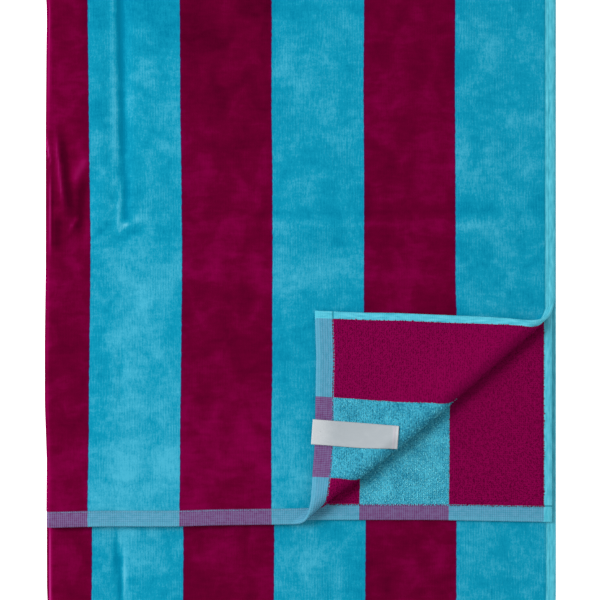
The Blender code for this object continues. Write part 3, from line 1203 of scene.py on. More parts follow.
@dataclass(frozen=True)
class Velour:
    """Cut pile on the face: clouded where it is brushed, ribbed by its rows of tufts."""

    # Each yarn's last colour is its painted glint, a highlight painted where the painted light is strongest.
    plum: Yarn = Yarn(
        Tones((0.055, 0.0002, 0.0098), (0.104, 0.0003, 0.0190), (0.185, 0.0006, 0.047)),
        0.35,
        (0.300, 0.014, 0.130),
    )
    turquoise: Yarn = Yarn(
        Tones((0.0004, 0.160, 0.278), (0.0040, 0.236, 0.366), (0.050, 0.350, 0.490)),
        1.15,
        (0.130, 0.440, 0.560),
    )
    parting: Colour = (0.020, 0.006, 0.085)
    parting_width: float = 0.0006
    parting_share: float = 0.85
    clouds: Mottle = Mottle((0.016, 0.0192), 3.0, 4.0, 0.6)
    cloud_share: float = 0.95
    drifts: Mottle = Mottle((0.060, 0.090), 11.0, 2.0, 0.8)
    drift_share: float = 0.8
    crumples: Mottle = Mottle((0.0110, 0.0036), 13.0, 3.0, 0.4)
    crumple_share: float = 0.45
    painted_light_share: float = 0.6
    glinting: tuple[float, float] = (0.5, 1.6)
    streaks: Mottle = Mottle((0.0013, 0.006), 17.0)
    streak_share: float = 0.55
    tufts: Mottle = Mottle((0.0009, 0.0012), 23.0, 1.0)
    tuft_share: float = 0.45
    rib_pitch: float = 0.00112
    rib_patches: Mottle = Mottle((0.020, 0.030), 29.0, 1.0)
    rib_patch_rise: tuple[float, float] = (-0.25, 0.35)
    rib_share: float = 0.17
    pile_depth: float = 0.0003
    fine_relief: float = 0.6
    cloud_relief: float = 0.5
    sheen: float = 0.20
    sheen_tints: tuple[Colour, Colour] = ((0.90, 0.0, 0.40), (0.0, 0.80, 1.0))

    def dress(self, stripes: Stripes) -> bpy.types.Material:
        """Makes the material.

        Args:
            stripes: The stripes that the colours follow.

        Returns:
            The material.
        """
        shader = ClothShader("velour")
        inside = stripes.inside(shader, Side.FACE)
        clouds = shader.mottled(self.clouds)
        drifts = shader.mottled(self.drifts)
        crumples = shader.mottled(self.crumples)
        ribbed = shader.mottled(self.rib_patches).rise(*self.rib_patch_rise)
        ribs = shader.across.wave(self.rib_pitch) * ribbed
        # Painted light: the creases' painted shade and highlights, and the painted highlight along the fold,
        # darken or lighten the pile's tone; the strongest turn to a painted glint.
        painted_light = shader.number(PAINTED_LIGHT)
        broad = 0.5 + clouds * self.cloud_share + drifts * self.drift_share
        broad = broad + crumples * self.crumple_share + painted_light * self.painted_light_share
        fine = shader.mottled(self.streaks) * self.streak_share
        fine = fine + shader.mottled(self.tufts) * self.tuft_share + ribs * self.rib_share
        yarns = (self.plum, self.turquoise)
        glint = painted_light.rise(*self.glinting)
        plum, turquoise = (yarn.colour(shader, broad, fine, glint) for yarn in yarns)
        dark_line = (inside - self.parting_width / 2).hump(self.parting_width)
        plum = shader.mix(dark_line * self.parting_share, plum, self.parting)
        normal = shader.bump(fine * self.fine_relief + clouds * self.cloud_relief, self.pile_depth)
        return stripes.both(shader, inside, (plum, turquoise), normal, self.sheen, self.sheen_tints)


@dataclass(frozen=True)
class Terry:
    """Looped pile on the reverse: the ground that shows between the loops, and the loops themselves."""

    # Each yarn's last colour is the darker, bluish colour of the painted shade and sheen on the roll's crest.
    plum: Yarn = Yarn(
        Tones((0.150, 0.0008, 0.042), (0.204, 0.0014, 0.057), (0.245, 0.0020, 0.070)),
        0.2,
        (0.075, 0.002, 0.050),
        0.06,
    )
    turquoise: Yarn = Yarn(
        Tones((0.012, 0.176, 0.280), (0.066, 0.420, 0.555), (0.165, 0.620, 0.715)),
        1.15,
        (0.040, 0.150, 0.280),
        0.05,
    )
    crest_shade_depth: float = 0.08
    clouds: Mottle = Mottle((0.012, 0.012), 31.0, 3.0, 0.5)
    cloud_share: float = 0.6
    loops: Mottle = Mottle((0.0012, 0.0014), 37.0)
    loop_share: float = 0.9
    shade_share: float = 0.55
    loop_depth: float = 0.0004

    def dress(self, name: str, stripes: Stripes, shifts: tuple[float, float]) -> bpy.types.Material:
        """Makes the material.

        Args:
            name: The material's name.
            stripes: The stripes that the colours follow.
            shifts: How much lighter or darker than usual its plum and its turquoise are painted, for painted
                light or shade.

        Returns:
            The material.
        """
        shader = ClothShader(name)
        inside = stripes.inside(shader, Side.REVERSE)
        loops = shader.mottled(self.loops)
        grain = shader.mottled(self.clouds) * self.cloud_share + loops * self.loop_share
        grain = grain + (shader.number(SHADE) - 0.5) * self.shade_share
        # Painted shade and sheen on the roll's crest: the tone darkens there and turns toward each yarn's
        # crest colour.
        crest_shade = shader.number(CREST_SHADE)
        tone = 0.5 - crest_shade * self.crest_shade_depth
        colours = [
            yarn.colour(shader, tone + shift, grain, crest_shade)
            for yarn, shift in zip((self.plum, self.turquoise), shifts)
        ]
        return stripes.both(shader, inside, colours, shader.bump(loops, self.loop_depth))


@dataclass(frozen=True)
class Picks:
    """Where a paler yarn shows in a weave: its shares of warp, weft and unevenness, and a soft step."""

    warp: float
    weft: float
    uneven: float
    step: tuple[float, float]

    def shown(self, warp: Signal, weft: Signal, uneven: Signal) -> Signal:
        """How much the yarn shows, from 0 to 1."""
        return (warp * self.warp + weft * self.weft + uneven * self.uneven).rise(*self.step)


@dataclass(frozen=True)
class WovenHem:
    """The flat end hem: a plain weave that mixes the stripes' yarns with pale blue and lilac ones."""

    pitch: float = 0.00150
    over_plum: Colour = (0.115, 0.033, 0.122)
    over_plum_dots: Colour = (0.150, 0.104, 0.224)
    dots: Picks = Picks(0.8, 0.3, 1.6, (-0.2, 1.1))
    over_turquoise: Colour = (0.052, 0.238, 0.350)
    over_turquoise_lines: Colour = (0.096, 0.288, 0.424)
    lines: Picks = Picks(0.2, 0.7, 2.2, (-0.3, 1.2))
    uneven: Mottle = Mottle((0.0040, 0.0022), 41.0)
    # The colour of a painted highlight along the hem's outer edge, over the turquoise.
    edge: Colour = (0.085, 0.340, 0.470)
    edge_highlight_width: float = 0.0026
    edge_highlight_start: float = 0.7
    edge_highlight_share: float = 0.4
    weave_depth: float = 0.00025
    yarn_relief: float = 0.5
    uneven_relief: float = 0.6
    roughness: float = 0.9

    def dress(self, stripes: Stripes) -> bpy.types.Material:
        """Makes the material.

        Args:
            stripes: The stripes that the colours follow.

        Returns:
            The material.
        """
        shader = ClothShader("woven_hem")
        inside = stripes.inside(shader, Side.FACE)
        warp = shader.across.wave(self.pitch) * 0.5 + 0.5
        weft = shader.along.wave(self.pitch) * 0.5 + 0.5
        uneven = shader.mottled(self.uneven)
        plum = shader.mix(self.dots.shown(warp, weft, uneven), self.over_plum, self.over_plum_dots)
        lines = self.lines.shown(warp, weft, uneven)
        turquoise = shader.mix(lines, self.over_turquoise, self.over_turquoise_lines)
        # A painted highlight: the turquoise is lighter along the cloth's ends.
        from_end = shader.along.least(stripes.cloth.length - shader.along)
        edge = 1.0 - from_end.rise(self.edge_highlight_width * self.edge_highlight_start, self.edge_highlight_width)
        turquoise = shader.mix(edge * self.edge_highlight_share, turquoise, self.edge)
        colour = shader.mix(stripes.plum(inside), turquoise, plum)
        height = warp * self.yarn_relief + weft * self.yarn_relief + uneven * self.uneven_relief
        return shader.finish(shader.surface(colour, shader.bump(height, self.weave_depth), self.roughness))


@dataclass(frozen=True)
class Selvedge:
    """The flat side edge: pale turquoise, ribbed across, with a groove along its middle, painted shade in it
    and by the pile, and a painted shadow where the hem steps over it.
    """

    cloth: Cloth
    yarn: Tones = Tones((0.020, 0.270, 0.370), (0.075, 0.430, 0.550), (0.150, 0.560, 0.680))
    tone: float = 0.48
    face_tone: float = -0.03
    uneven: Mottle = Mottle((0.0016, 0.008), 43.0)
    uneven_tone: float = 1.2
    rib_pitch: float = 0.0011
    rib_tone: float = 0.03
    rib_relief: float = 0.12
    groove_from_pile: float = 0.0028
    groove_width: float = 0.0007
    groove_shade_tone: float = 0.16
    groove_relief: float = 0.5
    root_width: float = 0.0008
    root_shade_tone: float = 0.1
    notch_width: float = 0.0007
    notch_shadow_tone: float = 0.8
    notch_relief: float = 1.5
    relief: float = 0.0003
    roughness: float = 0.9

    def dress(self) -> bpy.types.Material:
        """Makes the material.

        Returns:
            The material.
        """
        shader = ClothShader("selvedge")
        edge = abs(shader.across) - self.cloth.pile_half_width
        ribs = shader.along.wave(self.rib_pitch)
        uneven = shader.mottled(self.uneven)
        face = shader.outward.rise(-NEAR, NEAR)
        # Painted shade in the groove and at the root of the pile, and a painted shadow line where the hem's
        # edge steps over the selvedge.
        groove = (edge - self.groove_from_pile).hump(self.groove_width) * face
        root = edge.hump(self.root_width)
        notch = (shader.along - self.cloth.hem_width).hump(self.notch_width)
        tone = self.tone + face * self.face_tone + uneven * self.uneven_tone + ribs * self.rib_tone
        tone = tone - groove * self.groove_shade_tone - root * self.root_shade_tone - notch * self.notch_shadow_tone
        height = ribs * self.rib_relief + uneven - groove * self.groove_relief - notch * self.notch_relief
        normal = shader.bump(height, self.relief)
        return shader.finish(shader.surface(self.yarn.ramp(shader, tone), normal, self.roughness))


@dataclass(frozen=True)
class Satin:
    """The label's satin: smooth and pale, with a fine rib, a paler turned end, and painted shade tinted pink
    just inside it, where the end bends down.
    """

    length: float
    base: Colour = (0.313, 0.347, 0.372)
    paler: Colour = (0.56, 0.58, 0.60)
    paler_reach: float = 0.020
    paler_share: float = 0.6
    uneven: Mottle = Mottle((0.006, 0.004), 47.0, 3.0)
    uneven_share: float = 0.3
    turned: Colour = (0.52, 0.53, 0.56)
    turned_width: float = 0.0042
    # Colour of the painted shade, tinted pink, where the turned end bends down.
    end_shade: Colour = (0.42, 0.36, 0.42)
    end_shade_inset: float = 0.0030
    end_shade_width: float = 0.0012
    end_share: float = 0.5
    rib_pitch: float = 0.0005
    rib_relief: float = 0.3
    relief: float = 0.0001
    roughness: float = 0.42
    specular: float = 0.35

    def dress(self) -> bpy.types.Material:
        """Makes the material. The cloth place of the label is its own length and width.

        Returns:
            The material.
        """
        shader = ClothShader("satin")
        uneven = shader.mottled(self.uneven)
        whiter = (-shader.across).rise(-self.paler_reach, 0.0)
        base = shader.mix(whiter * self.paler_share + uneven * self.uneven_share, self.base, self.paler)
        end = shader.across - self.length
        colour = shader.mix(end.hump(self.turned_width) * self.end_share, base, self.turned)
        # Painted shade, tinted pink, just inside the turned end where it bends down.
        end_shade = (end + self.end_shade_inset).hump(self.end_shade_width)
        colour = shader.mix(end_shade * self.end_share, colour, self.end_shade)
        normal = shader.bump(shader.along.wave(self.rib_pitch) * self.rib_relief + uneven, self.relief)
        return shader.finish(shader.surface(colour, normal, self.roughness, specular=self.specular))


@dataclass(frozen=True)
class Thread:
    """Sewing thread."""

    colour: Colour
    strands: Mottle = Mottle((0.0004, 0.0004), 53.0, 1.0)
    shaded: float = 0.6
    roughness: float = 0.7
    specular: float = 0.2

    def dress(self, name: str) -> bpy.types.Material:
        """Makes the material.

        Args:
            name: The material's name.

        Returns:
            The material.
        """
        shader = ClothShader(name)
        shade = tuple(self.shaded * part for part in self.colour)
        colour = shader.mix(shader.mottled(self.strands) + 0.5, self.colour, shade)
        return shader.finish(shader.surface(colour, None, self.roughness, specular=self.specular))


def link(thing: bpy.types.Object) -> bpy.types.Object:
    """Puts an object in the scene."""
    bpy.context.scene.collection.objects.link(thing)
    return thing


def new_piece(name: str, mesh: bpy.types.Mesh) -> bpy.types.Object:
    """An object for a mesh, shaded smooth."""
    mesh.shade_smooth()
    return link(bpy.data.objects.new(name, mesh))


def set_attribute(mesh: bpy.types.Mesh, name: str, values: Array) -> None:
    """Gives each vertex of a mesh a number, or a vector of three.

    Args:
        mesh: The mesh.
        name: The attribute's name.
        values: The numbers, or the vectors, one row each.
    """
    vector = values.ndim == 2
    layer = mesh.attributes.new(name, "FLOAT_VECTOR" if vector else "FLOAT", "POINT")
    layer.data.foreach_set("vector" if vector else "value", values.astype(np.float32).ravel())


@dataclass
class Net:
    """A flat net of faces: places on the cloth for its vertices, and the vertices of its faces."""

    across: Array
    along: Array
    settled: Array
    faces: list[tuple[int, ...]]


class ClosedSheet:
    """A closed sheet of cloth on a net: its face, its reverse and a rounded rim."""

    def __init__(self, name: str, net: Net, rim_steps: int = 3) -> None:
        """Keeps the net and finds its rim.

        Args:
            name: The mesh's name.
            net: The flat net.
            rim_steps: Rows of points round the rim, between the face and the reverse.
        """
        self.name = name
        self.net = net
        self.angles = [math.pi / 2 - math.pi * (row + 1) / (rim_steps + 1) for row in range(rim_steps)]
        edges = {}
        for face in net.faces:
            for start, end in zip(face, face[1:] + face[:1]):
                edges[(start, end)] = True
        self.rim = [edge for edge in edges if (edge[1], edge[0]) not in edges]
        self.rim_points = sorted({start for start, _ in self.rim})

    def mesh(self, face: Array, reverse: Array, rim_rows: list[Array]) -> bpy.types.Mesh:
        """Builds the mesh.

        Args:
            face: Points of the face, one for each vertex of the net.
            reverse: Points of the reverse.
            rim_rows: For each angle of the rim, points for each of its vertices.

        Returns:
            The mesh, with its face's polygons first, then its reverse's, then its rim's.
        """
        count = len(face)
        points = np.concatenate([face, reverse, *rim_rows])
        polygons = [tuple(corners) for corners in self.net.faces]
        polygons += [tuple(corner + count for corner in reversed(corners)) for corners in self.net.faces]
        order = {vert: place for place, vert in enumerate(self.rim_points)}
        starts = [2 * count + row * len(self.rim_points) for row in range(len(rim_rows))]
        for ends in self.rim:
            near, far = ([vert, *(start + order[vert] for start in starts), vert + count] for vert in ends)
            for row in range(len(rim_rows) + 1):
                polygons.append((near[row], near[row + 1], far[row + 1], far[row]))
        mesh = bpy.data.meshes.new(self.name)
        mesh.from_pydata(points.tolist(), [], polygons)
        mesh.validate()
        return mesh

    def per_vertex(self, values: Array) -> Array:
        """Repeats a value of the net's vertices for the face, the reverse and the rim."""
        rim = values[self.rim_points]
        return np.concatenate([values, values] + [rim] * len(self.angles))


@dataclass
class Towel:
    """The towel's one sheet of cloth, in its folds."""

    fold: Fold
    fold_steps: int = 8
    near_fold: float = 0.062
    near_step: float = 0.0015
    near_step_below: float = 0.0030
    across_step: float = 0.0047
    shown_step: float = 0.0040
    hidden_step: float = 0.026
    roll_step: float = math.radians(11.0)
    overturn_steps: int = 6
    cut_margin: float = 0.012
    # Painted shade: the terry ground between the loops is darker than the loops, for the shade that falls
    # between them.
    ground_shade_shifts: tuple[float, float] = (-0.12, -0.28)

    @property
    def cloth(self) -> Cloth:
        """The cloth laid flat."""
        return self.fold.cloth

    def _columns(self) -> Array:
        """Places across the cloth where the net has a line.

        Returns:
            The places, from the lower leaf's selvedge to the upper leaf's.
        """
        arc = self.fold.arc
        shoulder = self.cloth.pile_shoulder
        pile_end = self.cloth.pile_half_width
        middle = (pile_end + self.cloth.half_width) / 2
        edge = [pile_end - shoulder / 2, pile_end, pile_end + shoulder / 2]
        edge += [pile_end + self.cloth.loop_overhang, middle, self.cloth.half_width]
        turn = np.linspace(0.0, arc, self.fold_steps // 2 + 1)[1:]
        sides = []
        for near_step in (self.near_step, self.near_step_below):
            near = np.arange(arc + near_step, arc + self.near_fold, near_step)
            count = round((pile_end - 2 * shoulder - near[-1]) / self.across_step)
            wide = np.linspace(near[-1], pile_end - 2 * shoulder, count + 1)[1:]
            sides.append(np.concatenate([turn, near, wide, edge]))
        upper, lower = sides
        return np.concatenate([-lower[::-1], [0.0], upper])

    def _rows(self) -> Array:
        """Places along the cloth where the net has a line: close where it shows, wide where it doesn't.

        Returns:
            The places, from the front hem to the hem under the stack.
        """
        fold = self.fold
        shoulder = self.cloth.pile_shoulder
        hem = self.cloth.hem_width
        end = [0.0, hem / 3, 2 * hem / 3, hem - shoulder / 2, hem, hem + shoulder / 2]
        middle_start = fold.top_run + fold.fold_run
        front = middle_start + fold.middle_run
        shown_from = front - fold.hem_setback - 2 * self.shown_step
        bottom_start = front + fold.fold_run
        turn_step = fold.fold_run / self.fold_steps
        stretches = [
            (end[-1], fold.top_run, self.shown_step),
            (fold.top_run, middle_start, turn_step),
            (middle_start, shown_from, self.hidden_step),
            (shown_from, front, self.shown_step),
            (front, bottom_start, turn_step),
            (bottom_start, self.cloth.length - end[-1], self.hidden_step),
        ]
        places = list(end)
        for start, stop, step in stretches:
            count = max(1, round((stop - start) / step))
            places += list(np.linspace(start, stop, count + 1)[1:])
        return np.array(places + [self.cloth.length - place for place in reversed(end[:-1])])

    def _roll_lines(self) -> Array:
        """Distances of cloth past the roll's start where the net has a line along the roll.

        Returns:
            The distances.
        """
        roll = self.fold.roll
        turned = roll.turned + roll.gather
        count = math.ceil((math.pi + roll.overturn) / self.roll_step)
        reach = roll.landed - roll.turned
        over = turned + reach * np.arange(1, self.overturn_steps + 1) / self.overturn_steps
        return np.concatenate([np.linspace(0.0, turned, count + 1), over])

    def _flat_net(self) -> Net:
        """The net of the whole cloth, with extra lines along the roll.

        Returns:
            The net.
        """
        columns, rows = self._columns(), self._rows()
        across, along = crossed(columns, rows)
        flat = bpy.data.meshes.new("flat")
        places = flat_points(*self.fold.settled(across, along))
        flat.from_pydata(places.tolist(), [], grid_faces(len(columns), len(rows)))
        set_attribute(flat, CLOTH_PLACE, flat_points(across, along))
        net = bmesh.new()
        net.from_mesh(flat)
        bpy.data.meshes.remove(flat)
        self._cut_along_roll(net)
        layer = net.verts.layers.float_vector[CLOTH_PLACE]
        kept = np.array([vert[layer][:2] for vert in net.verts])
        places = np.array([vert.co[:2] for vert in net.verts])
        net.verts.index_update()
        faces = [tuple(vert.index for vert in face.verts) for face in net.faces]
        net.free()
        return Net(kept[:, 0], kept[:, 1], places, faces)

    def _cut_along_roll(self, net: bmesh.types.BMesh) -> None:
        """Adds to the net a line along the roll for each step of its curve.

        Args:
            net: The net, in settled places.
        """
        roll = self.fold.roll
        cut = []
        for past in self._roll_lines():
            point = roll.origin + past * roll.out
            point_across = point[0] - self.fold.fold_x + self.fold.arc
            point_along = point[1] - self.fold.hem_y
            near = []
            for face in net.faces:
                centre = face.calc_center_median()
                out = (centre.x - point_across) * roll.out[0] + (centre.y - point_along) * roll.out[1]
                on_leaf = centre.x > 2 * self.fold.arc and centre.y < self.fold.top_run / 2
                if on_leaf and abs(out) < self.cut_margin:
                    near.append(face)
            geometry = {item for face in near for item in (*face.verts, *face.edges, face)}
            bmesh.ops.bisect_plane(
                net,
                geom=list(geometry),
                dist=self.cloth.edge_rounding / 4,
                plane_co=(point_across, point_along, 0.0),
                plane_no=(roll.out[0], roll.out[1], 0.0),
            )
            cut = [face for face in net.faces if len(face.verts) > 4]
        bmesh.ops.triangulate(net, faces=cut)

    def _crest_shades(self, net: Net) -> Array:
        """How strongly painted shade and sheen lie on the roll: most on its crest, where the loops also open.

        Args:
            net: The flat net.

        Returns:
            The share at each vertex, from 0 to 1.
        """
        on_leaf, _, past = self.fold.on_roll(net.settled[:, 0], net.settled[:, 1])
        roll = self.fold.roll
        return np.where(on_leaf & (past > 0), roll.crest(roll.ungathered(past)), 0.0)

    def _points(self, places: Array, outward: Array) -> Array:
        """Points of the folded cloth at settled places."""
        return self.fold.laid(places[:, 0], places[:, 1], outward)

    def build(self) -> bpy.types.Object:
        """Builds the sheet and the attributes that its finishes follow.

        Returns:
            The sheet.
        """
        net = self._flat_net()
        sheet = ClosedSheet("towel_cloth", net)
        half = self.cloth.half_thickness(net.across, net.along)
        rim = sheet.rim_points
        tolerance = self.cloth.pile_shoulder / 4
        off = np.zeros((len(rim), 2))
        off[:, 0] = np.sign(net.across[rim]) * (np.abs(net.across[rim]) > self.cloth.half_width - tolerance)
        off[:, 1] = (net.along[rim] > self.cloth.length - tolerance) * 1.0 - (net.along[rim] < tolerance)
        rows = []
        for angle in sheet.angles:
            places = net.settled[rim] + off * self.cloth.edge_rounding * math.cos(angle)
            rows.append(self._points(places, half[rim] * math.sin(angle)))
        face = self._points(net.settled, half)
        mesh = sheet.mesh(face, self._points(net.settled, -half), rows)
        cloth_place = sheet.per_vertex(np.stack([net.across, net.along, half], axis=1))
        heights = [np.ones(len(half)), -np.ones(len(half))]
        heights += [np.full(len(rim), math.sin(angle)) for angle in sheet.angles]
        cloth_place[:, 2] *= np.concatenate(heights)
        set_attribute(mesh, CLOTH_PLACE, cloth_place)
        set_attribute(mesh, PAINTED_LIGHT, self._shown_painted_light(net, face, sheet))
        set_attribute(mesh, CREST_SHADE, sheet.per_vertex(self._crest_shades(net)))
        set_attribute(mesh, SHADE, np.full(len(mesh.vertices), 0.5))
        self._share_out(mesh, sheet, net)
        return new_piece("towel_cloth", mesh)

    def _shown_painted_light(self, net: Net, face: Array, sheet: ClosedSheet) -> Array:
        """The painted light and shade of the face where it lies on top.

        Args:
            net: The flat net.
            face: Points of the face.
            sheet: The sheet on the net.

        Returns:
            The painted light at each vertex of the sheet.
        """
        fold = self.fold
        front = fold.top_run + fold.fold_run + fold.middle_run
        on_top = (net.across > -fold.arc) & (net.along < fold.top_run)
        at_front = (net.across < fold.arc) & (net.along > fold.top_run) & (net.along < front)
        at_front &= face[:, 1] < fold.hem_y
        return sheet.per_vertex(fold.painted_light_at(face) * (on_top | at_front))

    def _share_out(self, mesh: bpy.types.Mesh, sheet: ClosedSheet, net: Net) -> None:
        """Gives each polygon its slot.

        Args:
            mesh: The sheet's mesh.
            sheet: The sheet on the net.
            net: The flat net.
        """
        across = np.array([np.abs(net.across[list(face)]).mean() for face in net.faces])
        along = np.array([net.along[list(face)].mean() for face in net.faces])
        slots = [self.cloth.area_of(across, along, side) for side in Side]
        starts, ends = np.array(sheet.rim).T
        across = (np.abs(net.across[starts]) + np.abs(net.across[ends])) / 2
        along = (net.along[starts] + net.along[ends]) / 2
        rim = self.cloth.area_of(across, along, Side.FACE)
        slots.append(np.repeat(rim, len(sheet.angles) + 1))
        mesh.polygons.foreach_set("material_index", np.concatenate(slots).astype(np.int32))

    def dress(self, piece: bpy.types.Object) -> None:
        """Gives the sheet its finishes, in the order of the areas.

        Args:
            piece: The sheet.
        """
        stripes = Stripes(self.cloth)
        finishes = {
            Area.VELOUR: Velour().dress(stripes),
            Area.TERRY: Terry().dress("terry_ground", stripes, self.ground_shade_shifts),
            Area.HEM: WovenHem().dress(stripes),
            Area.SELVEDGE: Selvedge(self.cloth).dress(),
        }
        slots = piece.data.polygons
        kept = np.empty(len(slots), dtype=np.int32)
        slots.foreach_get("material_index", kept)
        for area in Area:
            piece.data.materials.append(finishes[area])
        slots.foreach_set("material_index", kept)


@dataclass(frozen=True)
class Arch:
    """A small arched yarn, and how unevenly many of them are set.

    It leans forward by a share of its height. Each is moved by up to the jitter, turned about its root's
    normal by up to the spin, tilted by up to the tilt, and made larger or smaller by up to the variation.
    """

    width: float
    height: float
    yarn: float
    lean: float
    jitter: float
    spin: float
    tilt: float
    variation: float

    def inputs(self) -> dict[str, float]:
        """The sizes by the names of a tree's inputs."""
        return {name.capitalize(): value for name, value in asdict(self).items()}


class Growth:
    """A Geometry Nodes tree that sets one small arched yarn on each of a mesh's points."""

    def __init__(self, name: str, arch: Arch, material: bpy.types.Material) -> None:
        """Builds the tree.

        Args:
            name: The tree's name.
            arch: The yarn that grows.
            material: Its material.
        """
        self.sizes = arch.inputs()
        self.group = bpy.data.node_groups.new(name, "GeometryNodeTree")
        self.tree = Tree(self.group)
        self._socket("Geometry", "INPUT", "Geometry")
        self.keys = {size: self._socket(size, "INPUT", "Float") for size in self.sizes}
        self.seed_key = self._socket("Seed", "INPUT", "Int")
        self._socket("Geometry", "OUTPUT", "Geometry")
        self.inputs = self.tree.add("NodeGroupInput")
        self._link(material)

    def _socket(self, name: str, way: str, kind: str) -> str:
        """Adds a socket to the tree's outside and tells its identifier."""
        return self.group.interface.new_socket(name, in_out=way, socket_type="NodeSocket" + kind).identifier

    def _size(self, name: str) -> Signal:
        """One of the tree's inputs."""
        return Signal(self.tree, self.inputs.outputs[name])

    def _random(self, low: Signal | float, high: Signal | float, turn: int) -> Signal:
        """A random number for each point.

        Args:
            low: The least that it can be.
            high: The most that it can be.
            turn: The place of this draw in the tree, which is added to the seed.

        Returns:
            The number.
        """
        seed = self._size("Seed") + float(turn)
        # Of a Random Value node's sockets, 2, 3 and 8 are the least and the most number and the seed.
        node = self.tree.add("FunctionNodeRandomValue", {"data_type": "FLOAT"}, {2: low, 3: high, 8: seed})
        return Signal(self.tree, node.outputs[1])

    def _about(self, reach: Signal, turn: int) -> Signal:
        """A random number for each point, up to the reach either way."""
        return self._random(-reach, reach, turn)

    def _named(self, name: str) -> bpy.types.NodeSocket:
        """A vector attribute of the points."""
        node = self.tree.add("GeometryNodeInputNamedAttribute", {"data_type": "FLOAT_VECTOR"}, {"Name": name})
        return node.outputs[0]

    def _form(self) -> bpy.types.NodeSocket:
        """The small form: a round yarn along an arch.

        Returns:
            The form's mesh.
        """
        width, height = self._size("Width"), self._size("Height")
        course = {
            "Resolution": ARCH_STEPS,
            "Start": self.tree.vector(width * -0.5, 0.0, 0.0),
            "Middle": self.tree.vector(0.0, self._size("Lean") * height, height * 2.0),
            "End": self.tree.vector(width * 0.5, 0.0, 0.0),
        }
        arch = self.tree.add("GeometryNodeCurveQuadraticBezier", {}, course)
        round_yarn = {"Resolution": YARN_SIDES, "Radius": self._size("Yarn")}
        ring = self.tree.add("GeometryNodeCurvePrimitiveCircle", {}, round_yarn)
        sockets = {"Curve": arch.outputs[0], "Profile Curve": ring.outputs[0]}
        return self.tree.add("GeometryNodeCurveToMesh", {}, sockets).outputs[0]

    def _rotation(self) -> bpy.types.NodeSocket:
        """How each form stands: on its root's normal, along its root's way, a little turned.

        Returns:
            The rotation.
        """
        tree = self.tree
        align = "FunctionNodeAlignRotationToVector"
        upright = tree.add(align, {"axis": "Z"}, {"Vector": self._named(ROOT_NORMAL)})
        sockets = {"Rotation": upright.outputs[0], "Vector": self._named(ROOT_RUN)}
        onward = tree.add(align, {"axis": "X", "pivot_axis": "Z"}, sockets)
        spin, tilt = self._size("Spin"), self._size("Tilt")
        angles = tree.vector(self._about(tilt, 3), self._about(tilt, 4), self._about(spin, 5))
        turned = tree.add("FunctionNodeEulerToRotation", {}, {0: angles})
        sockets = {0: onward.outputs[0], 1: turned.outputs[0]}
        return tree.add("FunctionNodeRotateRotation", {"rotation_space": "LOCAL"}, sockets).outputs[0]

    def _link(self, material: bpy.types.Material) -> None:
        """Links the tree from the points to the realized forms.

        Args:
            material: The forms' material.
        """
        tree = self.tree
        jitter, variation = self._size("Jitter"), self._size("Variation")
        offset = tree.vector(self._about(jitter, 1), self._about(jitter, 2), 0.0)
        sockets = {"Geometry": self.inputs.outputs["Geometry"], "Offset": offset}
        placed = tree.add("GeometryNodeSetPosition", {}, sockets)
        scale = self._random(1.0 - variation, 1.0 + variation, 6)
        sockets = {
            "Points": placed.outputs[0],
            "Instance": self._form(),
            "Rotation": self._rotation(),
            "Scale": tree.vector(scale, scale, scale),
        }
        grown = tree.add("GeometryNodeInstanceOnPoints", {}, sockets)
        shaded = tree.add(
            "GeometryNodeStoreNamedAttribute",
            {"data_type": "FLOAT", "domain": "INSTANCE"},
            {"Geometry": grown.outputs[0], "Name": SHADE, "Value": self._random(0.0, 1.0, 7)},
        )
        real = tree.add("GeometryNodeRealizeInstances", {}, {0: shaded.outputs[0]})
        sockets = {"Geometry": real.outputs[0], "Material": material}
        dressed = tree.add("GeometryNodeSetMaterial", {}, sockets)
        tree.add("NodeGroupOutput", {}, {0: dressed.outputs[0]})

    def grow(self, name: str, roots: bpy.types.Mesh, seed: int) -> bpy.types.Object:
        """Grows the forms on a mesh's points and makes them one plain mesh.

        Args:
            name: The new piece's name.
            roots: A mesh of points with their normals and ways.
            seed: The seed of the random draws.

        Returns:
            The new piece.
        """
        base = link(bpy.data.objects.new(name + "_roots", roots))
        modifier = base.modifiers.new("growth", "NODES")
        modifier.node_group = self.group
        for size, value in self.sizes.items():
            modifier[self.keys[size]] = value
        modifier[self.seed_key] = seed
        graph = bpy.context.evaluated_depsgraph_get()
        evaluated = base.evaluated_get(graph)
        mesh = bpy.data.meshes.new_from_object(evaluated, preserve_all_data_layers=True, depsgraph=graph)
        bpy.data.objects.remove(base)
        return new_piece(name, mesh)


@dataclass(frozen=True)
class Roots:
    """Places on one side of the folded cloth where small forms grow, and the way that they point.

    The roots lie at a lift off that side, and their way is measured at a lift of its own.
    """

    fold: Fold
    across: Array
    along: Array
    side: Side
    lift: float
    way: tuple[float, float]
    way_lift: float = 0.0

    def mesh(self, name: str, crest_shade: Array) -> bpy.types.Mesh:
        """A mesh of points, each with its normal, its way, its place on the cloth and its painted crest
        shade.

        Args:
            name: The mesh's name.
            crest_shade: How strongly shade and sheen are painted on the roll's crest at each place, from 0 to
                1.

        Returns:
            The mesh of points.
        """
        where = (self.across, self.along, self.side)
        mesh = bpy.data.meshes.new(name)
        mesh.from_pydata(self.fold.surface(*where, self.lift).tolist(), [], [])
        set_attribute(mesh, ROOT_NORMAL, self.fold.normals_at(*where, self.lift))
        set_attribute(mesh, ROOT_RUN, self.fold.ways_at(*where, self.way_lift, self.way))
        set_attribute(mesh, CLOTH_PLACE, flat_points(self.across, self.along))
        set_attribute(mesh, CREST_SHADE, crest_shade)
        return mesh


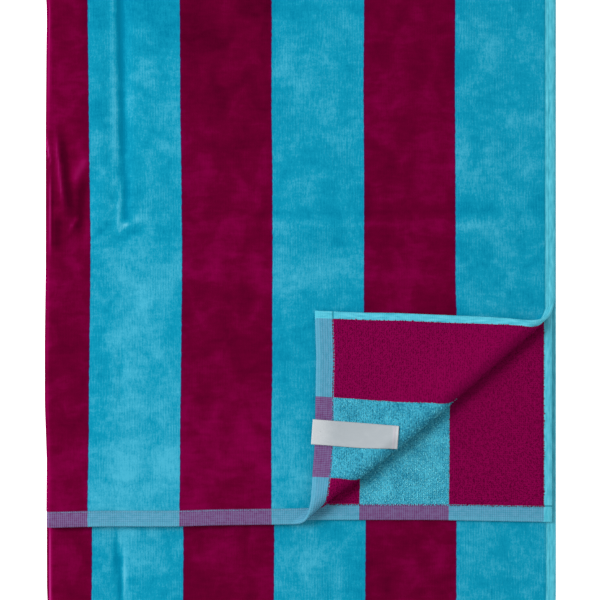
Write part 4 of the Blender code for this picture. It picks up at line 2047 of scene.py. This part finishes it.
@dataclass
class TerryLoops:
    """The loops of the reverse where it shows: on the turned-back corner and on the leaf under it."""

    fold: Fold
    pitch: float = 0.00140
    loop: Arch = Arch(
        width=0.00095,
        height=0.00075,
        yarn=0.00030,
        lean=0.6,
        jitter=0.22 * 0.00140,
        spin=math.pi,
        tilt=math.radians(22.0),
        variation=0.22,
    )
    rooting: float = 0.0003
    overhang: float = 0.0004
    hidden_margin: float = 0.008
    shown_from: float = math.pi * 0.36
    corner_seed: int = 5
    # Painted light: the turned corner's loops are painted a little darker, and the under leaf's turquoise
    # lighter and its plum darker, for how differently light falls on them.
    corner_light_shifts: tuple[float, float] = (-0.02, -0.04)
    under_seed: int = 9
    under_light_shifts: tuple[float, float] = (-0.25, 0.22)

    def _grid(self) -> tuple[Array, Array]:
        """Places of all loops of one half of the front of the cloth.

        Returns:
            The places across and along.
        """
        cloth = self.fold.cloth
        across = np.arange(self.pitch, cloth.pile_half_width + cloth.loop_overhang, self.pitch)
        along = np.arange(cloth.hem_width - self.overhang, self.fold.top_run / 2, self.pitch)
        return crossed(across, along)

    def build(self) -> list[bpy.types.Object]:
        """Grows the loops of the turned-back corner and of the leaf under it.

        Returns:
            The two pieces.
        """
        across, along = self._grid()
        _, _, past = self.fold.on_roll(*self.fold.settled(across, along))
        roll = self.fold.roll
        curve = roll.ungathered(past)
        # Painted shade and sheen on the roll's crest, for the corner's loops.
        crest_shade = roll.crest(curve)
        corner = curve > roll.radius * self.shown_from
        under = past > roll.radius - self.hidden_margin
        kinds = (
            # name, half of the cloth, which loops show, how strongly crest shade and sheen are painted on
            # them, seed, shifts in tone for painted light
            ("corner_loops", 1, corner, crest_shade, self.corner_seed, self.corner_light_shifts),
            ("under_loops", -1, under, 0.0 * crest_shade, self.under_seed, self.under_light_shifts),
        )
        stripes = Stripes(self.fold.cloth)
        pieces = []
        for name, half, shown, crest_shading, seed, shifts in kinds:
            growth = Growth(name, self.loop, Terry().dress(name, stripes, shifts))
            places = (half * across[shown], along[shown])
            lift = -self.rooting
            roots = Roots(self.fold, *places, Side.REVERSE, lift, (0.0, 1.0), lift)
            pieces.append(growth.grow(name, roots.mesh(name, crest_shading[shown]), seed))
        return pieces


@dataclass
class HemStitches:
    """The rows of stitches that hold the end hems, beside the pile."""

    fold: Fold
    spacing: float = 0.0026
    stitch: Arch = Arch(
        width=0.0019,
        height=0.00030,
        yarn=0.00016,
        lean=0.0,
        jitter=0.00008,
        spin=math.radians(6.0),
        tilt=0.0,
        variation=0.06,
    )
    from_pile: float = 0.0008
    face_colour: Colour = (0.20, 0.46, 0.60)
    reverse_colour: Colour = (0.035, 0.030, 0.12)
    seed: int = 3

    def build(self) -> list[bpy.types.Object]:
        """Grows the stitches of both hems, on both sides of the cloth.

        Returns:
            The two pieces.
        """
        cloth = self.fold.cloth
        row = np.arange(-cloth.pile_half_width, cloth.pile_half_width, self.spacing)
        across = np.tile(row, 2)
        from_end = cloth.hem_width - self.from_pile
        along = np.repeat([from_end, cloth.length - from_end], len(row))
        kinds = (
            (Side.FACE, "face_stitches", self.face_colour),
            (Side.REVERSE, "reverse_stitches", self.reverse_colour),
        )
        pieces = []
        for side, name, colour in kinds:
            growth = Growth(name, self.stitch, Thread(colour).dress(name))
            roots = Roots(self.fold, across, along, side, -self.stitch.yarn / 2, (1.0, 0.0))
            pieces.append(growth.grow(name, roots.mesh(name, np.zeros(len(along))), self.seed))
        return pieces


@dataclass
class Label:
    """The bare satin label, sewn across the front hem of the turned-back corner."""

    fold: Fold
    length: float = 0.0592
    width: float = 0.0172
    thickness: float = 0.0007
    clearance: float = 0.0004
    start: tuple[float, float] = (0.0083, -0.1101)
    heading: float = math.radians(-4.3)
    taper: float = 0.15
    ridge_inset: float = 0.0030
    ridge_height: float = 0.00025
    ridge_reach: float = 0.0008
    end_lift: float = 0.0003
    end_reach: float = 0.003
    length_steps: int = 96
    width_steps: int = 20

    def build(self) -> bpy.types.Object:
        """Builds the strip on the turned corner's reverse.

        Returns:
            The strip.
        """
        lengths = np.linspace(0.0, self.length, self.length_steps + 1)
        widths = np.linspace(-self.width / 2, self.width / 2, self.width_steps + 1)
        run, side = crossed(lengths, widths)
        faces = grid_faces(len(lengths), len(widths))
        sheet = ClosedSheet("label_strip", Net(run, side, np.stack([run, side], axis=1), faces))
        rim = sheet.rim_points
        lifts = [self.thickness * (math.sin(angle) + 1) / 2 for angle in sheet.angles]
        rows = [self._points(run[rim], side[rim], lift) for lift in lifts]
        mesh = sheet.mesh(self._points(run, side, self.thickness), self._points(run, side, 0.0), rows)
        set_attribute(mesh, CLOTH_PLACE, sheet.per_vertex(flat_points(run, side)))
        return new_piece("label_strip", mesh)

    def _points(self, run: Array, side: Array, lift: float) -> Array:
        """Points of the label.

        Args:
            run: Distances along it.
            side: Distances off its middle line.
            lift: Distance off its underside.

        Returns:
            The points, one row each.
        """
        heading = np.array((math.cos(self.heading), math.sin(self.heading)))
        square = np.array((-heading[1], heading[0]))
        drawn_in = np.where(side < 0, 1.0 - self.taper * smooth(2 * run / self.length - 1.0), 1.0)
        x, y = (np.array(self.start) + run[:, None] * heading + (side * drawn_in)[:, None] * square).T
        fold = self.fold
        from_end = self.length - run
        ridge = self.ridge_height * bell(from_end - self.ridge_inset, self.ridge_reach)
        ridge = ridge + self.end_lift * (1 - smooth(from_end / self.end_reach))
        height = fold.roll.strip_height(x, y, self.clearance) + lift + ridge
        return fold.creased(x, y, fold.levels[2] + fold.leaf_offset + height)

    def dress(self, piece: bpy.types.Object) -> None:
        """Gives the strip its satin."""
        piece.data.materials.append(Satin(self.length).dress())


@dataclass
class Studio:
    """The pale floor, the soft light and the camera straight above, as in the picture."""

    aim: tuple[float, float] = (0.0, -0.0197)
    view_width: float = 0.4122
    view_height: float = 0.024
    camera_height: float = 2.4
    camera_reach: float = 20.0
    sensor: float = 36.0
    floor_size: float = 8.0
    floor_colour: Colour = (0.90, 0.90, 0.90)
    floor_roughness: float = 0.9
    floor_glow: float = 0.70
    sky: float = 0.70
    lamp_power: float = 49.5
    lamp_size: float = 0.9
    lamp_place: tuple[float, float, float] = (-1.55, 0.35, 1.75)

    def build(self) -> None:
        """Builds the floor, the lights and the camera."""
        self._floor()
        self._lights()
        self._camera()

    def _floor(self) -> None:
        """A plain pale floor."""
        half = self.floor_size / 2
        corners = [(-half, -half, 0.0), (half, -half, 0.0), (half, half, 0.0), (-half, half, 0.0)]
        mesh = bpy.data.meshes.new("floor")
        mesh.from_pydata(corners, [], [(0, 1, 2, 3)])
        floor = new_piece("floor", mesh)
        shader = Shader("floor")
        paper = shader.surface(self.floor_colour, None, self.floor_roughness)
        glow = shader.add("ShaderNodeEmission", {}, {"Color": (*WHITE, 1.0), "Strength": self.floor_glow})
        lit = shader.add("ShaderNodeAddShader", {}, {0: paper, 1: glow.outputs[0]})
        mesh.materials.append(shader.finish(lit.outputs[0]))

    def _lights(self) -> None:
        """A white surrounding light and a large soft lamp from the upper left."""
        world = bpy.data.worlds.new("studio")
        world.use_nodes = True
        surround = world.node_tree.nodes["Background"]
        surround.inputs["Color"].default_value = (*WHITE, 1.0)
        surround.inputs["Strength"].default_value = self.sky
        bpy.context.scene.world = world
        lamp = bpy.data.lights.new("softbox", "AREA")
        lamp.shape = "SQUARE"
        lamp.size = self.lamp_size
        lamp.energy = self.lamp_power
        softbox = link(bpy.data.objects.new("softbox", lamp))
        softbox.location = self.lamp_place
        softbox.rotation_euler = (-Vector(self.lamp_place)).to_track_quat("-Z", "Y").to_euler()
        softbox.visible_camera = False

    def _camera(self) -> None:
        """A long lens straight above the towel."""
        camera = bpy.data.cameras.new("camera")
        camera.sensor_width = self.sensor
        camera.lens = self.sensor * (self.camera_height - self.view_height) / self.view_width
        camera.clip_end = self.camera_reach
        holder = link(bpy.data.objects.new("camera", camera))
        holder.location = (*self.aim, self.camera_height)
        bpy.context.scene.camera = holder
        bpy.context.scene.view_settings.view_transform = "Standard"


def seat(pieces: Sequence[bpy.types.Object], towel: bpy.types.Object) -> None:
    """Moves the meshes together so that the towel stands where its solid does.

    Args:
        pieces: All pieces, the towel among them.
        towel: The towel's cloth.
    """
    points = np.array([vert.co[:] for vert in towel.data.vertices])
    low, high = (np.array(corner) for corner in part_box(TOWEL_NODE))
    shift = (low + high) / 2 - (points.min(axis=0) + points.max(axis=0)) / 2
    shift[2] = low[2] - points[:, 2].min()
    log.info("seated by %s mm", np.round(shift * 1000, 2))
    for piece in pieces:
        piece.data.transform(Matrix.Translation(shift.tolist()))


def main() -> None:
    """Builds the towel, its loops, stitches and label, and the studio round them."""
    logging.basicConfig(level=logging.INFO, format="%(name)s: %(message)s")
    fold = Fold()
    towel = Towel(fold)
    cloth = towel.build()
    towel.dress(cloth)
    loops = TerryLoops(fold).build()
    stitches = HemStitches(fold).build()
    label = Label(fold)
    strip = label.build()
    label.dress(strip)
    pieces = [cloth, *loops, *stitches, strip]
    seat(pieces, cloth)
    for piece in pieces:
        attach(piece, BODY)
        triangles = sum(len(polygon.vertices) - 2 for polygon in piece.data.polygons)
        log.info("%s: %d triangles", piece.name, triangles)
    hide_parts(TOWEL_NODE)
    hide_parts(LABEL_NODE)
    flat = (2 * fold.cloth.half_width, fold.cloth.length)
    Studio().build()


if __name__ == "__main__":
    main()
